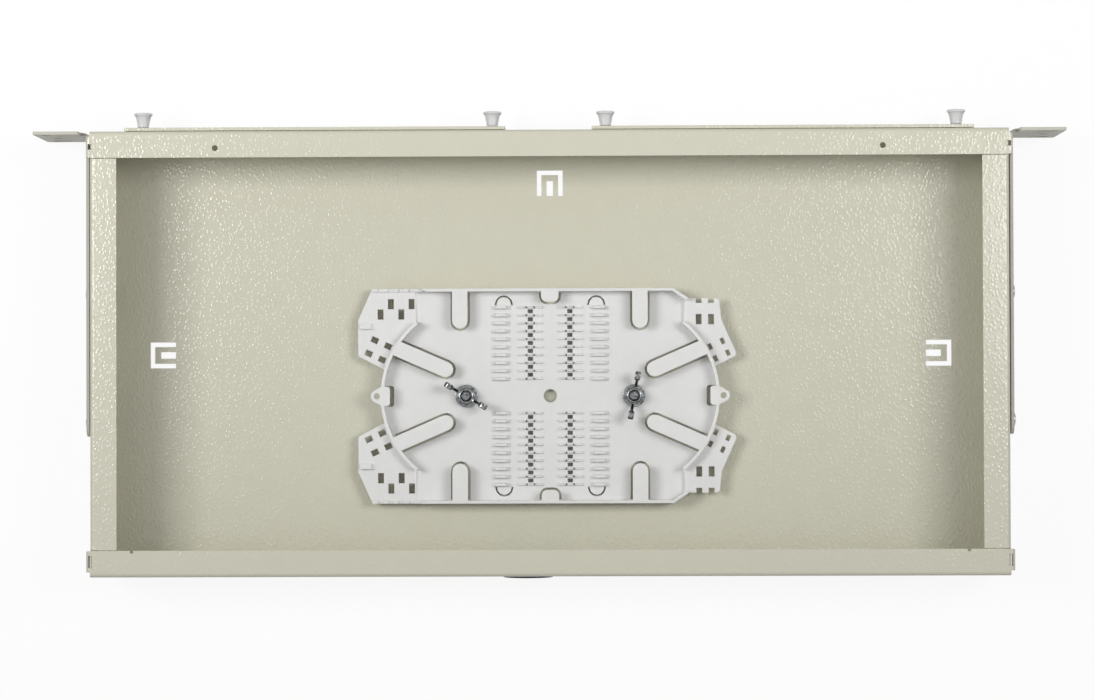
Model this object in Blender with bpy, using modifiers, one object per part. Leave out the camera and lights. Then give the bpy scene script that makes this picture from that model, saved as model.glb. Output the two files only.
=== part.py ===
"""Fibre distribution box: a 19 inch, 1U rack box of folded sheet steel with its cover off.

Metres, +Z up. The front faces -Y. The box lies on its floor, and the origin is the middle of the
floor's underside. Left and right are as seen from above with the front at the top, so left is +X.
"""

import math

import bmesh
import bpy
from mathutils import Matrix, Vector

# Clearances
GAP = 0.0003

# Folded steel body
BODY_WIDTH = 0.4290
BODY_DEPTH = 0.2085
BODY_HEIGHT = 0.0440
SHEET = 0.0012
BEND_RADIUS = 0.0020
BEND_STEPS = 3
CORNER_RELIEF = 0.0005
FLANGE_WIDTH = 0.0125
FLAP_HEIGHT = 0.0045
FLAP_LENGTH = 0.0098
FLAP_SETBACK = 0.0024
FLAP_SLOT_WIDTH = 0.0018
FRONT_FLAP_SLOT = 0.0026
REAR_FLAP_SLOT = 0.0058
COVER_HOLE_RADIUS = 0.0014
COVER_HOLE_INSET = 0.0587
COVER_HOLE_SETBACK = 0.0081
NOTCH_INSET = 0.0195
NOTCH_WIDTH = 0.0016
NOTCH_DEPTH = 0.0012

# Cable-tie cut-outs in the floor
TIE_WIDTH = 0.0124
TIE_LENGTH = 0.0122
TIE_SLOT = 0.0022
TIE_INNER_WIDTH = 0.0031
TIE_INNER_LENGTH = 0.0072
TIE_SIDE_INSET = 0.0288
TIE_FRONT_INSET = 0.02235

# Front plates and their windows
PLATE_END_INSET = 0.01575
PLATE_MIDDLE_GAP = 0.0405
PLATE_HEIGHT = 0.0380
PLATE_THICKNESS = 0.0015
PLATE_CORNER = 0.0010
WINDOW_MARGIN = 0.01425
WINDOW_HEIGHT = 0.0280
WINDOW_CORNER = 0.0015
PORT_COUNT = 6
PORT_MARGIN = 0.0102
PORT_WIDTH = 0.0096
PORT_HEIGHT = 0.0134

# Plunger latches
LATCH_INSET = 0.0065
SLEEVE_RADIUS = 0.0027
SLEEVE_FLANGE_RADIUS = 0.0047
SLEEVE_FLANGE_THICKNESS = 0.0010
SLEEVE_FLANGE_CHAMFER = 0.0008
SLEEVE_BARB_RADIUS = 0.0033
SLEEVE_BARB_LENGTH = 0.0012
SLEEVE_TAIL = 0.0050
SLEEVE_TAPER = 0.0004
SLEEVE_SLOT = 0.0008
PIN_RADIUS = 0.0014
PIN_TAIL = 0.0052
PIN_POINT = 0.0008
PIN_POINT_RADIUS = 0.0007
PLUNGER_NECK_RADIUS = 0.0026
PLUNGER_HEAD_RADIUS = 0.0044
PLUNGER_LENGTH = 0.0068
PLUNGER_RIM = 0.0010
PLUNGER_CHAMFER = 0.0006
PLUNGER_FLARE_STEPS = 5
PLUNGER_FLARE_POWER = 0.45
LATCH_SIDES = 12

# Rack ears
EAR_REACH = 0.0268
EAR_SHEET = 0.0015
EAR_HEIGHT = 0.0436
EAR_NECK = 0.0009
EAR_CORNER = 0.0012
EAR_ARM_HEIGHT = 0.0280
EAR_ARM_STANDOFF = 0.0013
EAR_ARM_LENGTH = 0.14285
EAR_ARM_CORNER = 0.0045
EAR_BEND_RADIUS = 0.0015
RACK_HOLE_INSET = 0.0085
RACK_HOLE_PITCH = 0.03175
RACK_SLOT_LENGTH = 0.0100
RACK_SLOT_HEIGHT = 0.0065
RACK_HOLE_RADIUS = 0.0022
HOLE_SIDES = 14

# Ear screws and the blind nuts they turn in
EAR_SCREW_SETBACKS = (0.07575, 0.13605)
SCREW_RADIUS = 0.0019
SCREW_POINT = 0.0005
SCREW_HEAD_RADIUS = 0.0036
SCREW_HEAD_HEIGHT = 0.0019
SCREW_DOME_STEPS = (0.45, 0.75, 0.92)
SCREW_DOME = 0.35
SCREW_HEAD_EDGE = 0.00085
SCREW_LENGTH = 0.0100
NUT_BARREL_RADIUS = 0.0034
NUT_FLANGE_RADIUS = 0.0047
NUT_BULGE_RADIUS = 0.0043
NUT_BULGE_LENGTH = 0.0030
NUT_LENGTH = 0.0095
SCREW_SIDES = 12

# Splice tray
TRAY_CENTRE_Y = 0.0200
TRAY_HALF_DEPTH = 0.0512
TRAY_FLOOR = 0.0016
TRAY_WALL = 0.0014
TRAY_RIM_HEIGHT = 0.0070
ARC_CENTRE_X = 0.0351
ARC_RADIUS = 0.0456
ARC_END_X = 0.0638
ARC_STEPS = 20
RIM_END_X = 0.0612
RIM_END_SLANT = 0.0018
RIM_CORNER_X = 0.0586
RIM_CHAMFER_X = 0.0658
RIM_CHAMFER_Y = 0.0048
STUD_HOLE_RADIUS = 0.0028
CENTRE_HOLE_RADIUS = 0.0032

# Wings, raised so that a cable tie passes under them
WING_LEVEL = 0.0025
WING_WALL_HEIGHT = 0.0018
WING_NOTCH_DEPTH = 0.0012
WING_CORNER = 0.0018
WING_NEAR_Y = 0.0192
WING_FAR_Y = 0.0363
WING_ARC_STEPS = 6
LEFT_WING_REACH = 0.0916
LEFT_WING_EDGE_X = 0.0849
LEFT_WING_ROOT_Y = 0.0125
RIGHT_WING_REACH = 0.0892
RIGHT_WING_EDGE_X = 0.0806
RIGHT_WING_WAIST_X = 0.0816
RIGHT_WING_ROOT_Y = 0.0137
EDGE_NOTCH_X = (0.0709, 0.0768)
EDGE_NOTCH_DEPTH = 0.0023
RAMP_TOP_X = 0.0644
LEFT_RAMP_FOOT_X = 0.0612
RIGHT_RAMP_FOOT_X = 0.0629
FINGER_OUTER_X = 0.0906
FINGER_HOOK_X = 0.0854
FINGER_FOOT_X = 0.0815
FINGER_WIDTH = 0.0026
FINGER_HEIGHT = 0.0020
FINGER_Y = 0.0334

# Retaining tabs, and the core holes in the floor below them
TAB_THICKNESS = 0.0013
TAB_WIDTH = 0.0073
TAB_CLEARANCE = 0.0010
CORE_HOLE_SETBACK = 0.0004
SIDE_TAB_X = 0.0429
SIDE_TAB_END = 0.0358
SLANT_TAB_X = 0.0497
SLANT_TAB_Y = 0.0127
SLANT_TAB_ANGLE = math.radians(23.5)
MIDDLE_TAB_WIDTH = 0.0083
MIDDLE_TAB_END = 0.0448
MIDDLE_TAB_CORNER = 0.0026
ROUND_STEPS = 6

# Side lugs
LUG_X = 0.0825
LUG_RADIUS = 0.0029
LUG_HOLE_RADIUS = 0.0015
LUG_TAB_END_X = 0.0763
LUG_HOLE_REACH = 0.0016
LUG_NOSE_ANGLE = math.radians(62)
LUG_NOSE_STEPS = 10
LUG_TAB_WIDTH = 0.0088
LUG_TAB_CORNER = 0.0012

# Splice combs
COMB_COLUMN_X = 0.00945
COMB_RIBS = 10
COMB_PITCH = 0.00379
COMB_FIRST_Y = 0.0082
RIB_INNER_X = 0.0036
RIB_OUTER_X = 0.0156
RIB_HEIGHT = 0.0016
RIB_THICKNESS = 0.0013
RIB_TOP_THICKNESS = 0.0005
RIB_END_DRAFT = 0.0004
CLIP_INNER_X = 0.0184
CLIP_OUTER_X = 0.0286
CLIP_HEIGHT = 0.0030
CLIP_TOP_LENGTH = 0.0047
CLIP_THICKNESS = 0.0017
CLIP_TOP_THICKNESS = 0.0011
COMB_HOLE_WIDTH = 0.0025
COMB_HOLE_DEPTH = 0.0018
TONGUE_X = 0.0221
TONGUE_RADIUS = 0.0043
TONGUE_SLOT = 0.0008

# Cable-tie holes in the wings
TIE_HOLE_WIDTH = 0.0028
TIE_HOLE_LENGTH = 0.0048
SLANT_HOLE_LENGTH = 0.0035
SLANT_HOLE_WIDTH = 0.0028
SMALL_HOLE_LENGTH = 0.0019
SMALL_HOLE_WIDTH = 0.0029
WING_HOLE_COUNT = 4
WING_HOLE_X = 0.0661
WING_HOLE_Y = 0.0440
WING_HOLE_PITCH = 0.00493
RIGHT_HOLE_Y = 0.0363
LEFT_SLANT_HOLE = (0.0773, -0.0239)
LEFT_SLANT_PITCH = (0.0070, 0.0070)
RIGHT_SLANT_HOLE = (0.0763, -0.0232)
RIGHT_SLANT_PITCH = (0.0065, 0.0062)
WING_SLANT = math.radians(24.7)

# Tray fixings
STUD_SPACING = 0.0801
STUD_RADIUS = 0.0022
STUD_CHAMFER = 0.0006
STUD_SHOWING = 0.0022
SPACER_HEIGHT = 0.0015
SPACER_RADIUS = 0.0045
SPACER_BORE = 0.0028
WASHER_RADIUS = 0.0054
WASHER_THICKNESS = 0.0010
NUT_BASE_RADIUS = 0.0041
NUT_TOP_RADIUS = 0.0032
NUT_HEIGHT = 0.0046
NUT_BORE = 0.0025
NUT_CHAMFER = 0.0003
NUT_SKIRT = 0.0012
WING_SPAN = 0.0231
WING_RISE = 0.0102
WING_WEB = 0.0015
WEB_BOTTOM = 0.0010
WEB_BEND = (0.0075, 0.0030)
WEB_TOP = (0.0066, 0.0066)
WEB_SHOULDER_X = 0.0048
WEB_TIP_DEPTH = 0.0030
WING_TIP = 0.0027
WING_TIP_LENGTH = 0.0042
WING_TIP_HEIGHT = 0.0060
WING_TIP_CORNER = 0.0018
LEFT_NUT_TURN = math.radians(149.5)
RIGHT_NUT_TURN = math.radians(80.0)
ROUND_SIDES = 16

# Rear cable entry
ENTRY_X = 0.0105
ENTRY_BODY_RADIUS = 0.0100
ENTRY_LIP_RADIUS = 0.0120
ENTRY_LIP = 0.0010
ENTRY_LIP_CHAMFER = 0.0005
ENTRY_BORE = 0.0065
ENTRY_SIDES = 20

# Places worked out from the sizes above
HALF_WIDTH = BODY_WIDTH / 2
HALF_DEPTH = BODY_DEPTH / 2
MID_HEIGHT = BODY_HEIGHT / 2
FRONT_Y = -HALF_DEPTH
COVER_HOLE_X = HALF_WIDTH - COVER_HOLE_INSET
NOTCH_X = HALF_WIDTH - NOTCH_INSET
TIE_SIDE_X = HALF_WIDTH - TIE_SIDE_INSET
TIE_FRONT_Y = FRONT_Y + TIE_FRONT_INSET
PLATE_WIDTH = HALF_WIDTH - PLATE_END_INSET - PLATE_MIDDLE_GAP / 2
PLATE_CENTRE_X = (PLATE_MIDDLE_GAP + PLATE_WIDTH) / 2
WINDOW_WIDTH = PLATE_WIDTH - 2 * WINDOW_MARGIN
PORT_PITCH = (WINDOW_WIDTH - 2 * PORT_MARGIN - PORT_WIDTH) / (PORT_COUNT - 1)
LATCH_SPACING = PLATE_WIDTH - 2 * LATCH_INSET
PLATE_BACK_Y = FRONT_Y - GAP
PLATE_FRONT_Y = PLATE_BACK_Y - PLATE_THICKNESS
SPACER_BASE = SHEET + GAP
TRAY_BASE = SPACER_BASE + SPACER_HEIGHT + GAP
TRAY_TOP = TRAY_BASE + TRAY_FLOOR
RIM_TOP_LEVEL = TRAY_FLOOR + TRAY_RIM_HEIGHT
WING_TOP_LEVEL = WING_LEVEL + TRAY_FLOOR
WASHER_BASE = TRAY_TOP + GAP
WING_NUT_BASE = WASHER_BASE + WASHER_THICKNESS + GAP
STUD_TOP = WING_NUT_BASE + NUT_HEIGHT + STUD_SHOWING
EAR_EDGE_X = HALF_WIDTH + EAR_REACH
RACK_HOLE_X = EAR_EDGE_X - RACK_HOLE_INSET
EAR_ARM_REAR_Y = FRONT_Y + EAR_ARM_LENGTH
EAR_SCREW_Y = [FRONT_Y + setback for setback in EAR_SCREW_SETBACKS]
ARM_INNER_X = HALF_WIDTH + EAR_ARM_STANDOFF
ARM_OUTER_X = ARM_INNER_X + EAR_SHEET
LATCHES = [
    ("left_outer", PLATE_CENTRE_X + LATCH_SPACING / 2),
    ("left_inner", PLATE_CENTRE_X - LATCH_SPACING / 2),
    ("right_inner", -PLATE_CENTRE_X + LATCH_SPACING / 2),
    ("right_outer", -PLATE_CENTRE_X - LATCH_SPACING / 2),
]
CUT_MARGIN = 0.002


# Scene, collections and materials

def clear_scene():
    for item in list(bpy.data.objects):
        bpy.data.objects.remove(item, do_unlink=True)


def new_collection(name):
    collection = bpy.data.collections.new(name)
    bpy.context.scene.collection.children.link(collection)
    return collection


def make_material(name, colour, roughness, metallic):
    material = bpy.data.materials.new(name)
    material.use_nodes = True
    shader = material.node_tree.nodes["Principled BSDF"]
    shader.inputs["Base Color"].default_value = (*colour, 1.0)
    shader.inputs["Roughness"].default_value = roughness
    shader.inputs["Metallic"].default_value = metallic
    material.diffuse_color = (*colour, 1.0)
    return material


clear_scene()
PARTS = new_collection("fibre_distribution_box")
CUTTERS = new_collection("cutters")
PAINTED_STEEL = make_material("painted_steel", (0.56, 0.54, 0.44), 0.45, 0.0)
WHITE_PLASTIC = make_material("white_plastic", (0.83, 0.83, 0.82), 0.40, 0.0)
CLEAR_NYLON = make_material("clear_nylon", (0.80, 0.80, 0.79), 0.35, 0.0)
ZINC_STEEL = make_material("zinc_steel", (0.62, 0.64, 0.65), 0.30, 1.0)
BLACK_RUBBER = make_material("black_rubber", (0.02, 0.02, 0.02), 0.70, 0.0)


# Modelling helpers

def add_part(name, mesh, material):
    part = bpy.data.objects.new(name, mesh)
    mesh.materials.clear()
    mesh.materials.append(material)
    PARTS.objects.link(part)
    return part


def add_tool(name, mesh):
    tool = bpy.data.objects.new(name, mesh)
    CUTTERS.objects.link(tool)
    tool.hide_render = True
    tool.display_type = "WIRE"
    return tool


def finish_mesh(bm, name):
    bmesh.ops.recalc_face_normals(bm, faces=bm.faces)
    mesh = bpy.data.meshes.new(name)
    bm.to_mesh(mesh)
    bm.free()
    return mesh


def shade_round(part):
    part.data.shade_smooth()
    part.data.set_sharp_from_angle(angle=math.radians(35))


def boolean(part, tool, operation):
    modifier = part.modifiers.new(f"{operation.lower()}_{tool.name}", "BOOLEAN")
    modifier.operation = operation
    modifier.solver = "EXACT"
    modifier.object = tool


def merge_meshes(name, meshes):
    """Several closed shapes that don't meet, gathered in one mesh."""
    bm = bmesh.new()
    for mesh in meshes:
        bm.from_mesh(mesh)
        bpy.data.meshes.remove(mesh)
    return finish_mesh(bm, name)


def solid_from_outline(name, outline, low, high, turn=None):
    """A flat outline made solid between two levels of its own Z axis, with one face at each end."""
    curve = bpy.data.curves.new(name, "CURVE")
    curve.dimensions = "2D"
    curve.fill_mode = "BOTH"
    curve.extrude = (high - low) / 2
    spline = curve.splines.new("POLY")
    spline.points.add(len(outline) - 1)
    for point, (x, y) in zip(spline.points, outline):
        point.co = (x, y, 0.0, 1.0)
    spline.use_cyclic_u = True
    drawing = bpy.data.objects.new(name, curve)
    bpy.context.scene.collection.objects.link(drawing)
    bpy.context.view_layer.update()
    evaluated = drawing.evaluated_get(bpy.context.evaluated_depsgraph_get())
    mesh = bpy.data.meshes.new_from_object(evaluated)
    bpy.data.objects.remove(drawing, do_unlink=True)
    bpy.data.curves.remove(curve)
    bm = bmesh.new()
    bm.from_mesh(mesh)
    bpy.data.meshes.remove(mesh)
    bmesh.ops.remove_doubles(bm, verts=bm.verts, dist=1e-6)
    for end in (-1, 1):
        cap = [face for face in bm.faces if all(vert.co.z * end > 0 for vert in face.verts)]
        bmesh.ops.dissolve_faces(bm, faces=cap, use_verts=False)
    bmesh.ops.translate(bm, verts=bm.verts, vec=(0, 0, (low + high) / 2))
    if turn is not None:
        bmesh.ops.transform(bm, matrix=turn, verts=bm.verts)
    return finish_mesh(bm, name)


def cut_outlines(part, name, outlines, low, high, turn=None):
    """Cuts a set of outlines through a piece."""
    meshes = [solid_from_outline(name, outline, low, high, turn) for outline in outlines]
    tool = add_tool(name, merge_meshes(name, meshes))
    tool.matrix_world = part.matrix_world
    boolean(part, tool, "DIFFERENCE")


def box_mesh(name, low, high):
    bm = bmesh.new()
    bmesh.ops.create_cube(bm, size=1.0)
    size = Vector(high) - Vector(low)
    middle = (Vector(high) + Vector(low)) / 2
    bmesh.ops.scale(bm, verts=bm.verts, vec=size)
    bmesh.ops.translate(bm, verts=bm.verts, vec=middle)
    return finish_mesh(bm, name)


def cylinder_mesh(name, radius, start, end, sides):
    """A cylinder between two points."""
    start = Vector(start)
    end = Vector(end)
    bm = bmesh.new()
    bmesh.ops.create_cone(
        bm,
        cap_ends=True,
        segments=sides,
        radius1=radius,
        radius2=radius,
        depth=(end - start).length,
    )
    turn = (end - start).to_track_quat("Z", "Y").to_matrix().to_4x4()
    bmesh.ops.transform(bm, matrix=Matrix.Translation((start + end) / 2) @ turn, verts=bm.verts)
    return finish_mesh(bm, name)


def turned_part(name, profile, sides, material, closed=False):
    """A turned piece: a profile in the XZ plane, run down its outer side, spun about Z."""
    bm = bmesh.new()
    verts = [bm.verts.new((radius, 0.0, height)) for radius, height in profile]
    for first, second in zip(verts, verts[1:]):
        bm.edges.new((first, second))
    if closed:
        bm.edges.new((verts[-1], verts[0]))
    mesh = bpy.data.meshes.new(name)
    bm.to_mesh(mesh)
    bm.free()
    part = add_part(name, mesh, material)
    screw = part.modifiers.new("turn", "SCREW")
    screw.axis = "Z"
    screw.angle = math.tau
    screw.steps = sides
    screw.render_steps = sides
    screw.use_merge_vertices = True
    screw.merge_threshold = 1e-6
    screw.use_smooth_shade = False
    return part


def arc(centre, radius, start, end, steps):
    """Points along a circular arc, both ends included."""
    points = []
    for step in range(steps + 1):
        angle = start + (end - start) * step / steps
        points.append((centre[0] + radius * math.cos(angle), centre[1] + radius * math.sin(angle)))
    return points


def circle(centre, radius, steps):
    return arc(centre, radius, 0.0, math.tau, steps)[:-1]


def rectangle(centre, width, height, angle=0.0):
    points = []
    for across, along in ((-1, -1), (1, -1), (1, 1), (-1, 1)):
        x = across * width / 2
        y = along * height / 2
        points.append((
            centre[0] + x * math.cos(angle) - y * math.sin(angle),
            centre[1] + x * math.sin(angle) + y * math.cos(angle),
        ))
    return points


def rounded(points, radii, steps=3):
    """The outline with an arc at each corner that has a radius."""
    result = []
    count = len(points)
    for index, (point, radius) in enumerate(zip(points, radii)):
        corner = Vector(point)
        if radius <= 0:
            result.append(tuple(corner))
            continue
        to_last = (Vector(points[index - 1]) - corner).normalized()
        to_next = (Vector(points[(index + 1) % count]) - corner).normalized()
        half_angle = to_last.angle(to_next) / 2
        middle = corner + (to_last + to_next).normalized() * radius / math.sin(half_angle)
        start = corner + to_last * radius / math.tan(half_angle) - middle
        sweep = (math.pi - 2 * half_angle) * (1 if to_last.cross(to_next) < 0 else -1)
        for step in range(steps + 1):
            turn = Matrix.Rotation(sweep * step / steps, 2)
            result.append(tuple(middle + turn @ start))
    return result


def rounded_rectangle(centre, width, height, radius, steps=3):
    return rounded(rectangle(centre, width, height), [radius] * 4, steps)


def mirror_x(points):
    return [(-x, y) for x, y in reversed(points)]


def mirror_y(points):
    return [(x, -y) for x, y in reversed(points)]


# Sheet folding: an open skin, grown edge by edge, that Solidify turns into plate

def skin_edges(bm, test):
    """Free edges of the skin whose two ends both pass the test."""
    return [
        edge for edge in bm.edges
        if edge.is_boundary and all(test(vert.co) for vert in edge.verts)
    ]


def extend(bm, edges, step):
    grown = bmesh.ops.extrude_edge_only(bm, edges=edges)
    verts = [item for item in grown["geom"] if isinstance(item, bmesh.types.BMVert)]
    bmesh.ops.translate(bm, verts=verts, vec=step)
    return [item for item in grown["geom"] if isinstance(item, bmesh.types.BMEdge) and item.is_boundary]


def fold(bm, edges, centre, axis, angle, steps):
    verts = list({vert for edge in edges for vert in edge.verts})
    bmesh.ops.spin(
        bm,
        geom=verts + list(edges),
        cent=centre,
        axis=axis,
        angle=angle,
        steps=steps,
        use_duplicate=False,
    )


def near(value, target):
    return abs(value - target) < 1e-6


def divide(bm, point, normal):
    bmesh.ops.bisect_plane(
        bm,
        geom=bm.verts[:] + bm.edges[:] + bm.faces[:],
        plane_co=point,
        plane_no=normal,
        dist=1e-7,
    )


def skin_to_plate(part, thickness):
    solidify = part.modifiers.new("sheet", "SOLIDIFY")
    solidify.thickness = thickness
    solidify.offset = 1.0
    solidify.use_even_offset = True
    solidify.use_quality_normals = True


def skin_mesh(bm, name, inward_face, inward):
    """Point every face of the open skin the same way, towards the inside of the fold."""
    bmesh.ops.recalc_face_normals(bm, faces=bm.faces)
    probe = min(bm.faces, key=lambda face: (face.calc_center_median() - Vector(inward_face)).length)
    if probe.normal.dot(Vector(inward)) < 0:
        bmesh.ops.reverse_faces(bm, faces=bm.faces)
    mesh = bpy.data.meshes.new(name)
    bm.to_mesh(mesh)
    bm.free()
    return mesh


# Folded steel body

def body_skin():
    """Outer skin of the body: floor, four walls, top flanges and the flaps at the corners."""
    flat_x = HALF_WIDTH - BEND_RADIUS
    flat_y = HALF_DEPTH - BEND_RADIUS
    bend_x = flat_x - CORNER_RELIEF
    bend_y = flat_y - CORNER_RELIEF
    side_flange_y = HALF_DEPTH - FLANGE_WIDTH - GAP
    wall_top = BODY_HEIGHT - BEND_RADIUS
    flap_near_y = HALF_DEPTH - FLAP_SETBACK
    flap_far_y = flap_near_y - FLAP_LENGTH

    bm = bmesh.new()
    bmesh.ops.create_grid(bm, x_segments=1, y_segments=1, size=1.0)
    bmesh.ops.scale(bm, verts=bm.verts, vec=(flat_x, flat_y, 1.0))
    for side in (-1, 1):
        divide(bm, (side * bend_x, 0, 0), (1, 0, 0))
        divide(bm, (0, side * bend_y, 0), (0, 1, 0))
        divide(bm, (0, side * side_flange_y, 0), (0, 1, 0))

    for side in (-1, 1):
        def on_floor_edge(co, side=side):
            return near(co.y, side * flat_y) and abs(co.x) < bend_x + 1e-6 and near(co.z, 0)

        def at_wall_base(co, side=side):
            return near(co.y, side * HALF_DEPTH) and near(co.z, BEND_RADIUS)

        def at_wall_top(co, side=side):
            return near(co.y, side * HALF_DEPTH) and near(co.z, wall_top)

        def at_flange_root(co, side=side):
            return near(co.y, side * flat_y) and near(co.z, BODY_HEIGHT)

        fold(bm, skin_edges(bm, on_floor_edge), (0, side * flat_y, BEND_RADIUS), (side, 0, 0),
             math.pi / 2, BEND_STEPS)
        extend(bm, skin_edges(bm, at_wall_base), (0, 0, wall_top - BEND_RADIUS))
        fold(bm, skin_edges(bm, at_wall_top), (0, side * flat_y, wall_top), (side, 0, 0),
             math.pi / 2, BEND_STEPS)
        extend(bm, skin_edges(bm, at_flange_root), (0, -side * (FLANGE_WIDTH - BEND_RADIUS), 0))

    for side in (-1, 1):
        def on_side_edge(co, side=side):
            return near(co.x, side * flat_x) and abs(co.y) < bend_y + 1e-6 and near(co.z, 0)

        def at_side_base(co, side=side):
            return near(co.x, side * HALF_WIDTH) and near(co.z, BEND_RADIUS)

        def at_side_top(co, side=side):
            return (near(co.x, side * HALF_WIDTH) and near(co.z, wall_top)
                    and abs(co.y) < side_flange_y + 1e-6)

        def at_side_flange_root(co, side=side):
            return (near(co.x, side * flat_x) and near(co.z, BODY_HEIGHT)
                    and abs(co.y) < side_flange_y + 1e-6)

        def at_end_of_fold(co, side=side):
            return near(co.x, side * bend_x) and co.z > BEND_RADIUS - 1e-6

        def at_flange_end(co, side=side):
            return (near(co.x, side * HALF_WIDTH) and near(co.z, BODY_HEIGHT)
                    and flap_far_y - 1e-6 < abs(co.y) < flap_near_y + 1e-6)

        def at_flap_top(co, side=side):
            return near(co.x, side * (HALF_WIDTH + BEND_RADIUS)) and near(co.z, wall_top)

        fold(bm, skin_edges(bm, on_side_edge), (side * flat_x, 0, BEND_RADIUS), (0, -side, 0),
             math.pi / 2, BEND_STEPS)
        extend(bm, skin_edges(bm, at_side_base), (0, 0, wall_top - BEND_RADIUS))
        fold(bm, skin_edges(bm, at_side_top), (side * flat_x, 0, wall_top), (0, -side, 0),
             math.pi / 2, BEND_STEPS)
        extend(bm, skin_edges(bm, at_side_flange_root), (-side * (FLANGE_WIDTH - BEND_RADIUS), 0, 0))

        extend(bm, skin_edges(bm, at_end_of_fold), (side * (HALF_WIDTH - bend_x), 0, 0))
        for end in (-1, 1):
            divide(bm, (0, end * flap_near_y, 0), (0, 1, 0))
            divide(bm, (0, end * flap_far_y, 0), (0, 1, 0))
        fold(bm, skin_edges(bm, at_flange_end), (side * HALF_WIDTH, 0, wall_top), (0, side, 0),
             math.pi / 2, BEND_STEPS)
        extend(bm, skin_edges(bm, at_flap_top), (0, 0, -FLAP_HEIGHT))
    return skin_mesh(bm, "chassis", (0, 0, 0), (0, 0, 1))


def tie_cutter(name, centre, direction):
    """Bracket-shaped slot with its open side along the direction, and a short slot inside it."""
    outer = TIE_WIDTH / 2
    inner = outer - TIE_SLOT
    far = -TIE_LENGTH / 2
    near_end = TIE_LENGTH / 2
    bracket = [
        (-outer, near_end), (-outer, far), (outer, far), (outer, near_end),
        (inner, near_end), (inner, far + TIE_SLOT), (-inner, far + TIE_SLOT), (-inner, near_end),
    ]
    slot = rectangle((0, near_end - TIE_INNER_LENGTH / 2), TIE_INNER_WIDTH, TIE_INNER_LENGTH)
    turn = Matrix.Translation((*centre, 0)) @ Matrix.Rotation(direction - math.pi / 2, 4, "Z")
    meshes = []
    for index, outline in enumerate((bracket, slot)):
        meshes.append(solid_from_outline(f"{name}_{index}", outline, -CUT_MARGIN,
                                         SHEET + CUT_MARGIN, turn))
    return meshes


def facing_front(y):
    """Turns a drawing so that its X stays X, its Y becomes Z and its Z becomes -Y, at a given Y."""
    return Matrix.Translation((0, y, 0)) @ Matrix.Rotation(math.pi / 2, 4, "X")


def make_chassis():
    chassis = add_part("chassis", body_skin(), PAINTED_STEEL)
    skin_to_plate(chassis, SHEET)
    cuts = []
    for side in (-1, 1):
        window = rounded_rectangle((side * PLATE_CENTRE_X, MID_HEIGHT), WINDOW_WIDTH, WINDOW_HEIGHT,
                                   WINDOW_CORNER)
        cuts.append(solid_from_outline("window", window, -SHEET - CUT_MARGIN, CUT_MARGIN,
                                       facing_front(FRONT_Y)))
        cuts.append(cylinder_mesh(
            "cover_hole", COVER_HOLE_RADIUS,
            (side * COVER_HOLE_X, FRONT_Y + COVER_HOLE_SETBACK, BODY_HEIGHT - SHEET - CUT_MARGIN),
            (side * COVER_HOLE_X, FRONT_Y + COVER_HOLE_SETBACK, BODY_HEIGHT + CUT_MARGIN), HOLE_SIDES))
        cuts.append(box_mesh(
            "notch",
            (side * NOTCH_X - NOTCH_WIDTH / 2, HALF_DEPTH - FLANGE_WIDTH - CUT_MARGIN,
             BODY_HEIGHT - SHEET - CUT_MARGIN),
            (side * NOTCH_X + NOTCH_WIDTH / 2, HALF_DEPTH - FLANGE_WIDTH + NOTCH_DEPTH,
             BODY_HEIGHT + CUT_MARGIN)))
        for y in EAR_SCREW_Y:
            cuts.append(cylinder_mesh(
                "blind_nut_hole", NUT_BARREL_RADIUS + GAP,
                (side * (HALF_WIDTH - SHEET - CUT_MARGIN), y, MID_HEIGHT),
                (side * (HALF_WIDTH + CUT_MARGIN), y, MID_HEIGHT), SCREW_SIDES))
        flap_middle = HALF_DEPTH - FLAP_SETBACK - FLAP_LENGTH / 2
        for end, length in ((-1, FRONT_FLAP_SLOT), (1, REAR_FLAP_SLOT)):
            x_limits = sorted((side * (HALF_WIDTH - FLAP_SLOT_WIDTH / 2),
                               side * (HALF_WIDTH + FLAP_SLOT_WIDTH / 2)))
            cuts.append(box_mesh(
                "flap_slot",
                (x_limits[0], end * flap_middle - length / 2, BODY_HEIGHT - 2 * SHEET),
                (x_limits[1], end * flap_middle + length / 2, BODY_HEIGHT + CUT_MARGIN)))
    for name, x in LATCHES:
        cuts.append(cylinder_mesh("latch_hole", SLEEVE_RADIUS + GAP,
                                  (x, FRONT_Y - CUT_MARGIN, MID_HEIGHT),
                                  (x, FRONT_Y + SHEET + CUT_MARGIN, MID_HEIGHT), LATCH_SIDES))
    cuts.append(cylinder_mesh("entry_hole", ENTRY_BODY_RADIUS + GAP,
                              (ENTRY_X, HALF_DEPTH - SHEET - CUT_MARGIN, MID_HEIGHT),
                              (ENTRY_X, HALF_DEPTH + CUT_MARGIN, MID_HEIGHT), ENTRY_SIDES))
    cuts += tie_cutter("tie_front", (0, TIE_FRONT_Y), math.pi / 2)
    cuts += tie_cutter("tie_left", (TIE_SIDE_X, 0), math.pi)
    cuts += tie_cutter("tie_right", (-TIE_SIDE_X, 0), 0)
    boolean(chassis, add_tool("chassis_cuts", merge_meshes("chassis_cuts", cuts)), "DIFFERENCE")


# Front plates

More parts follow.
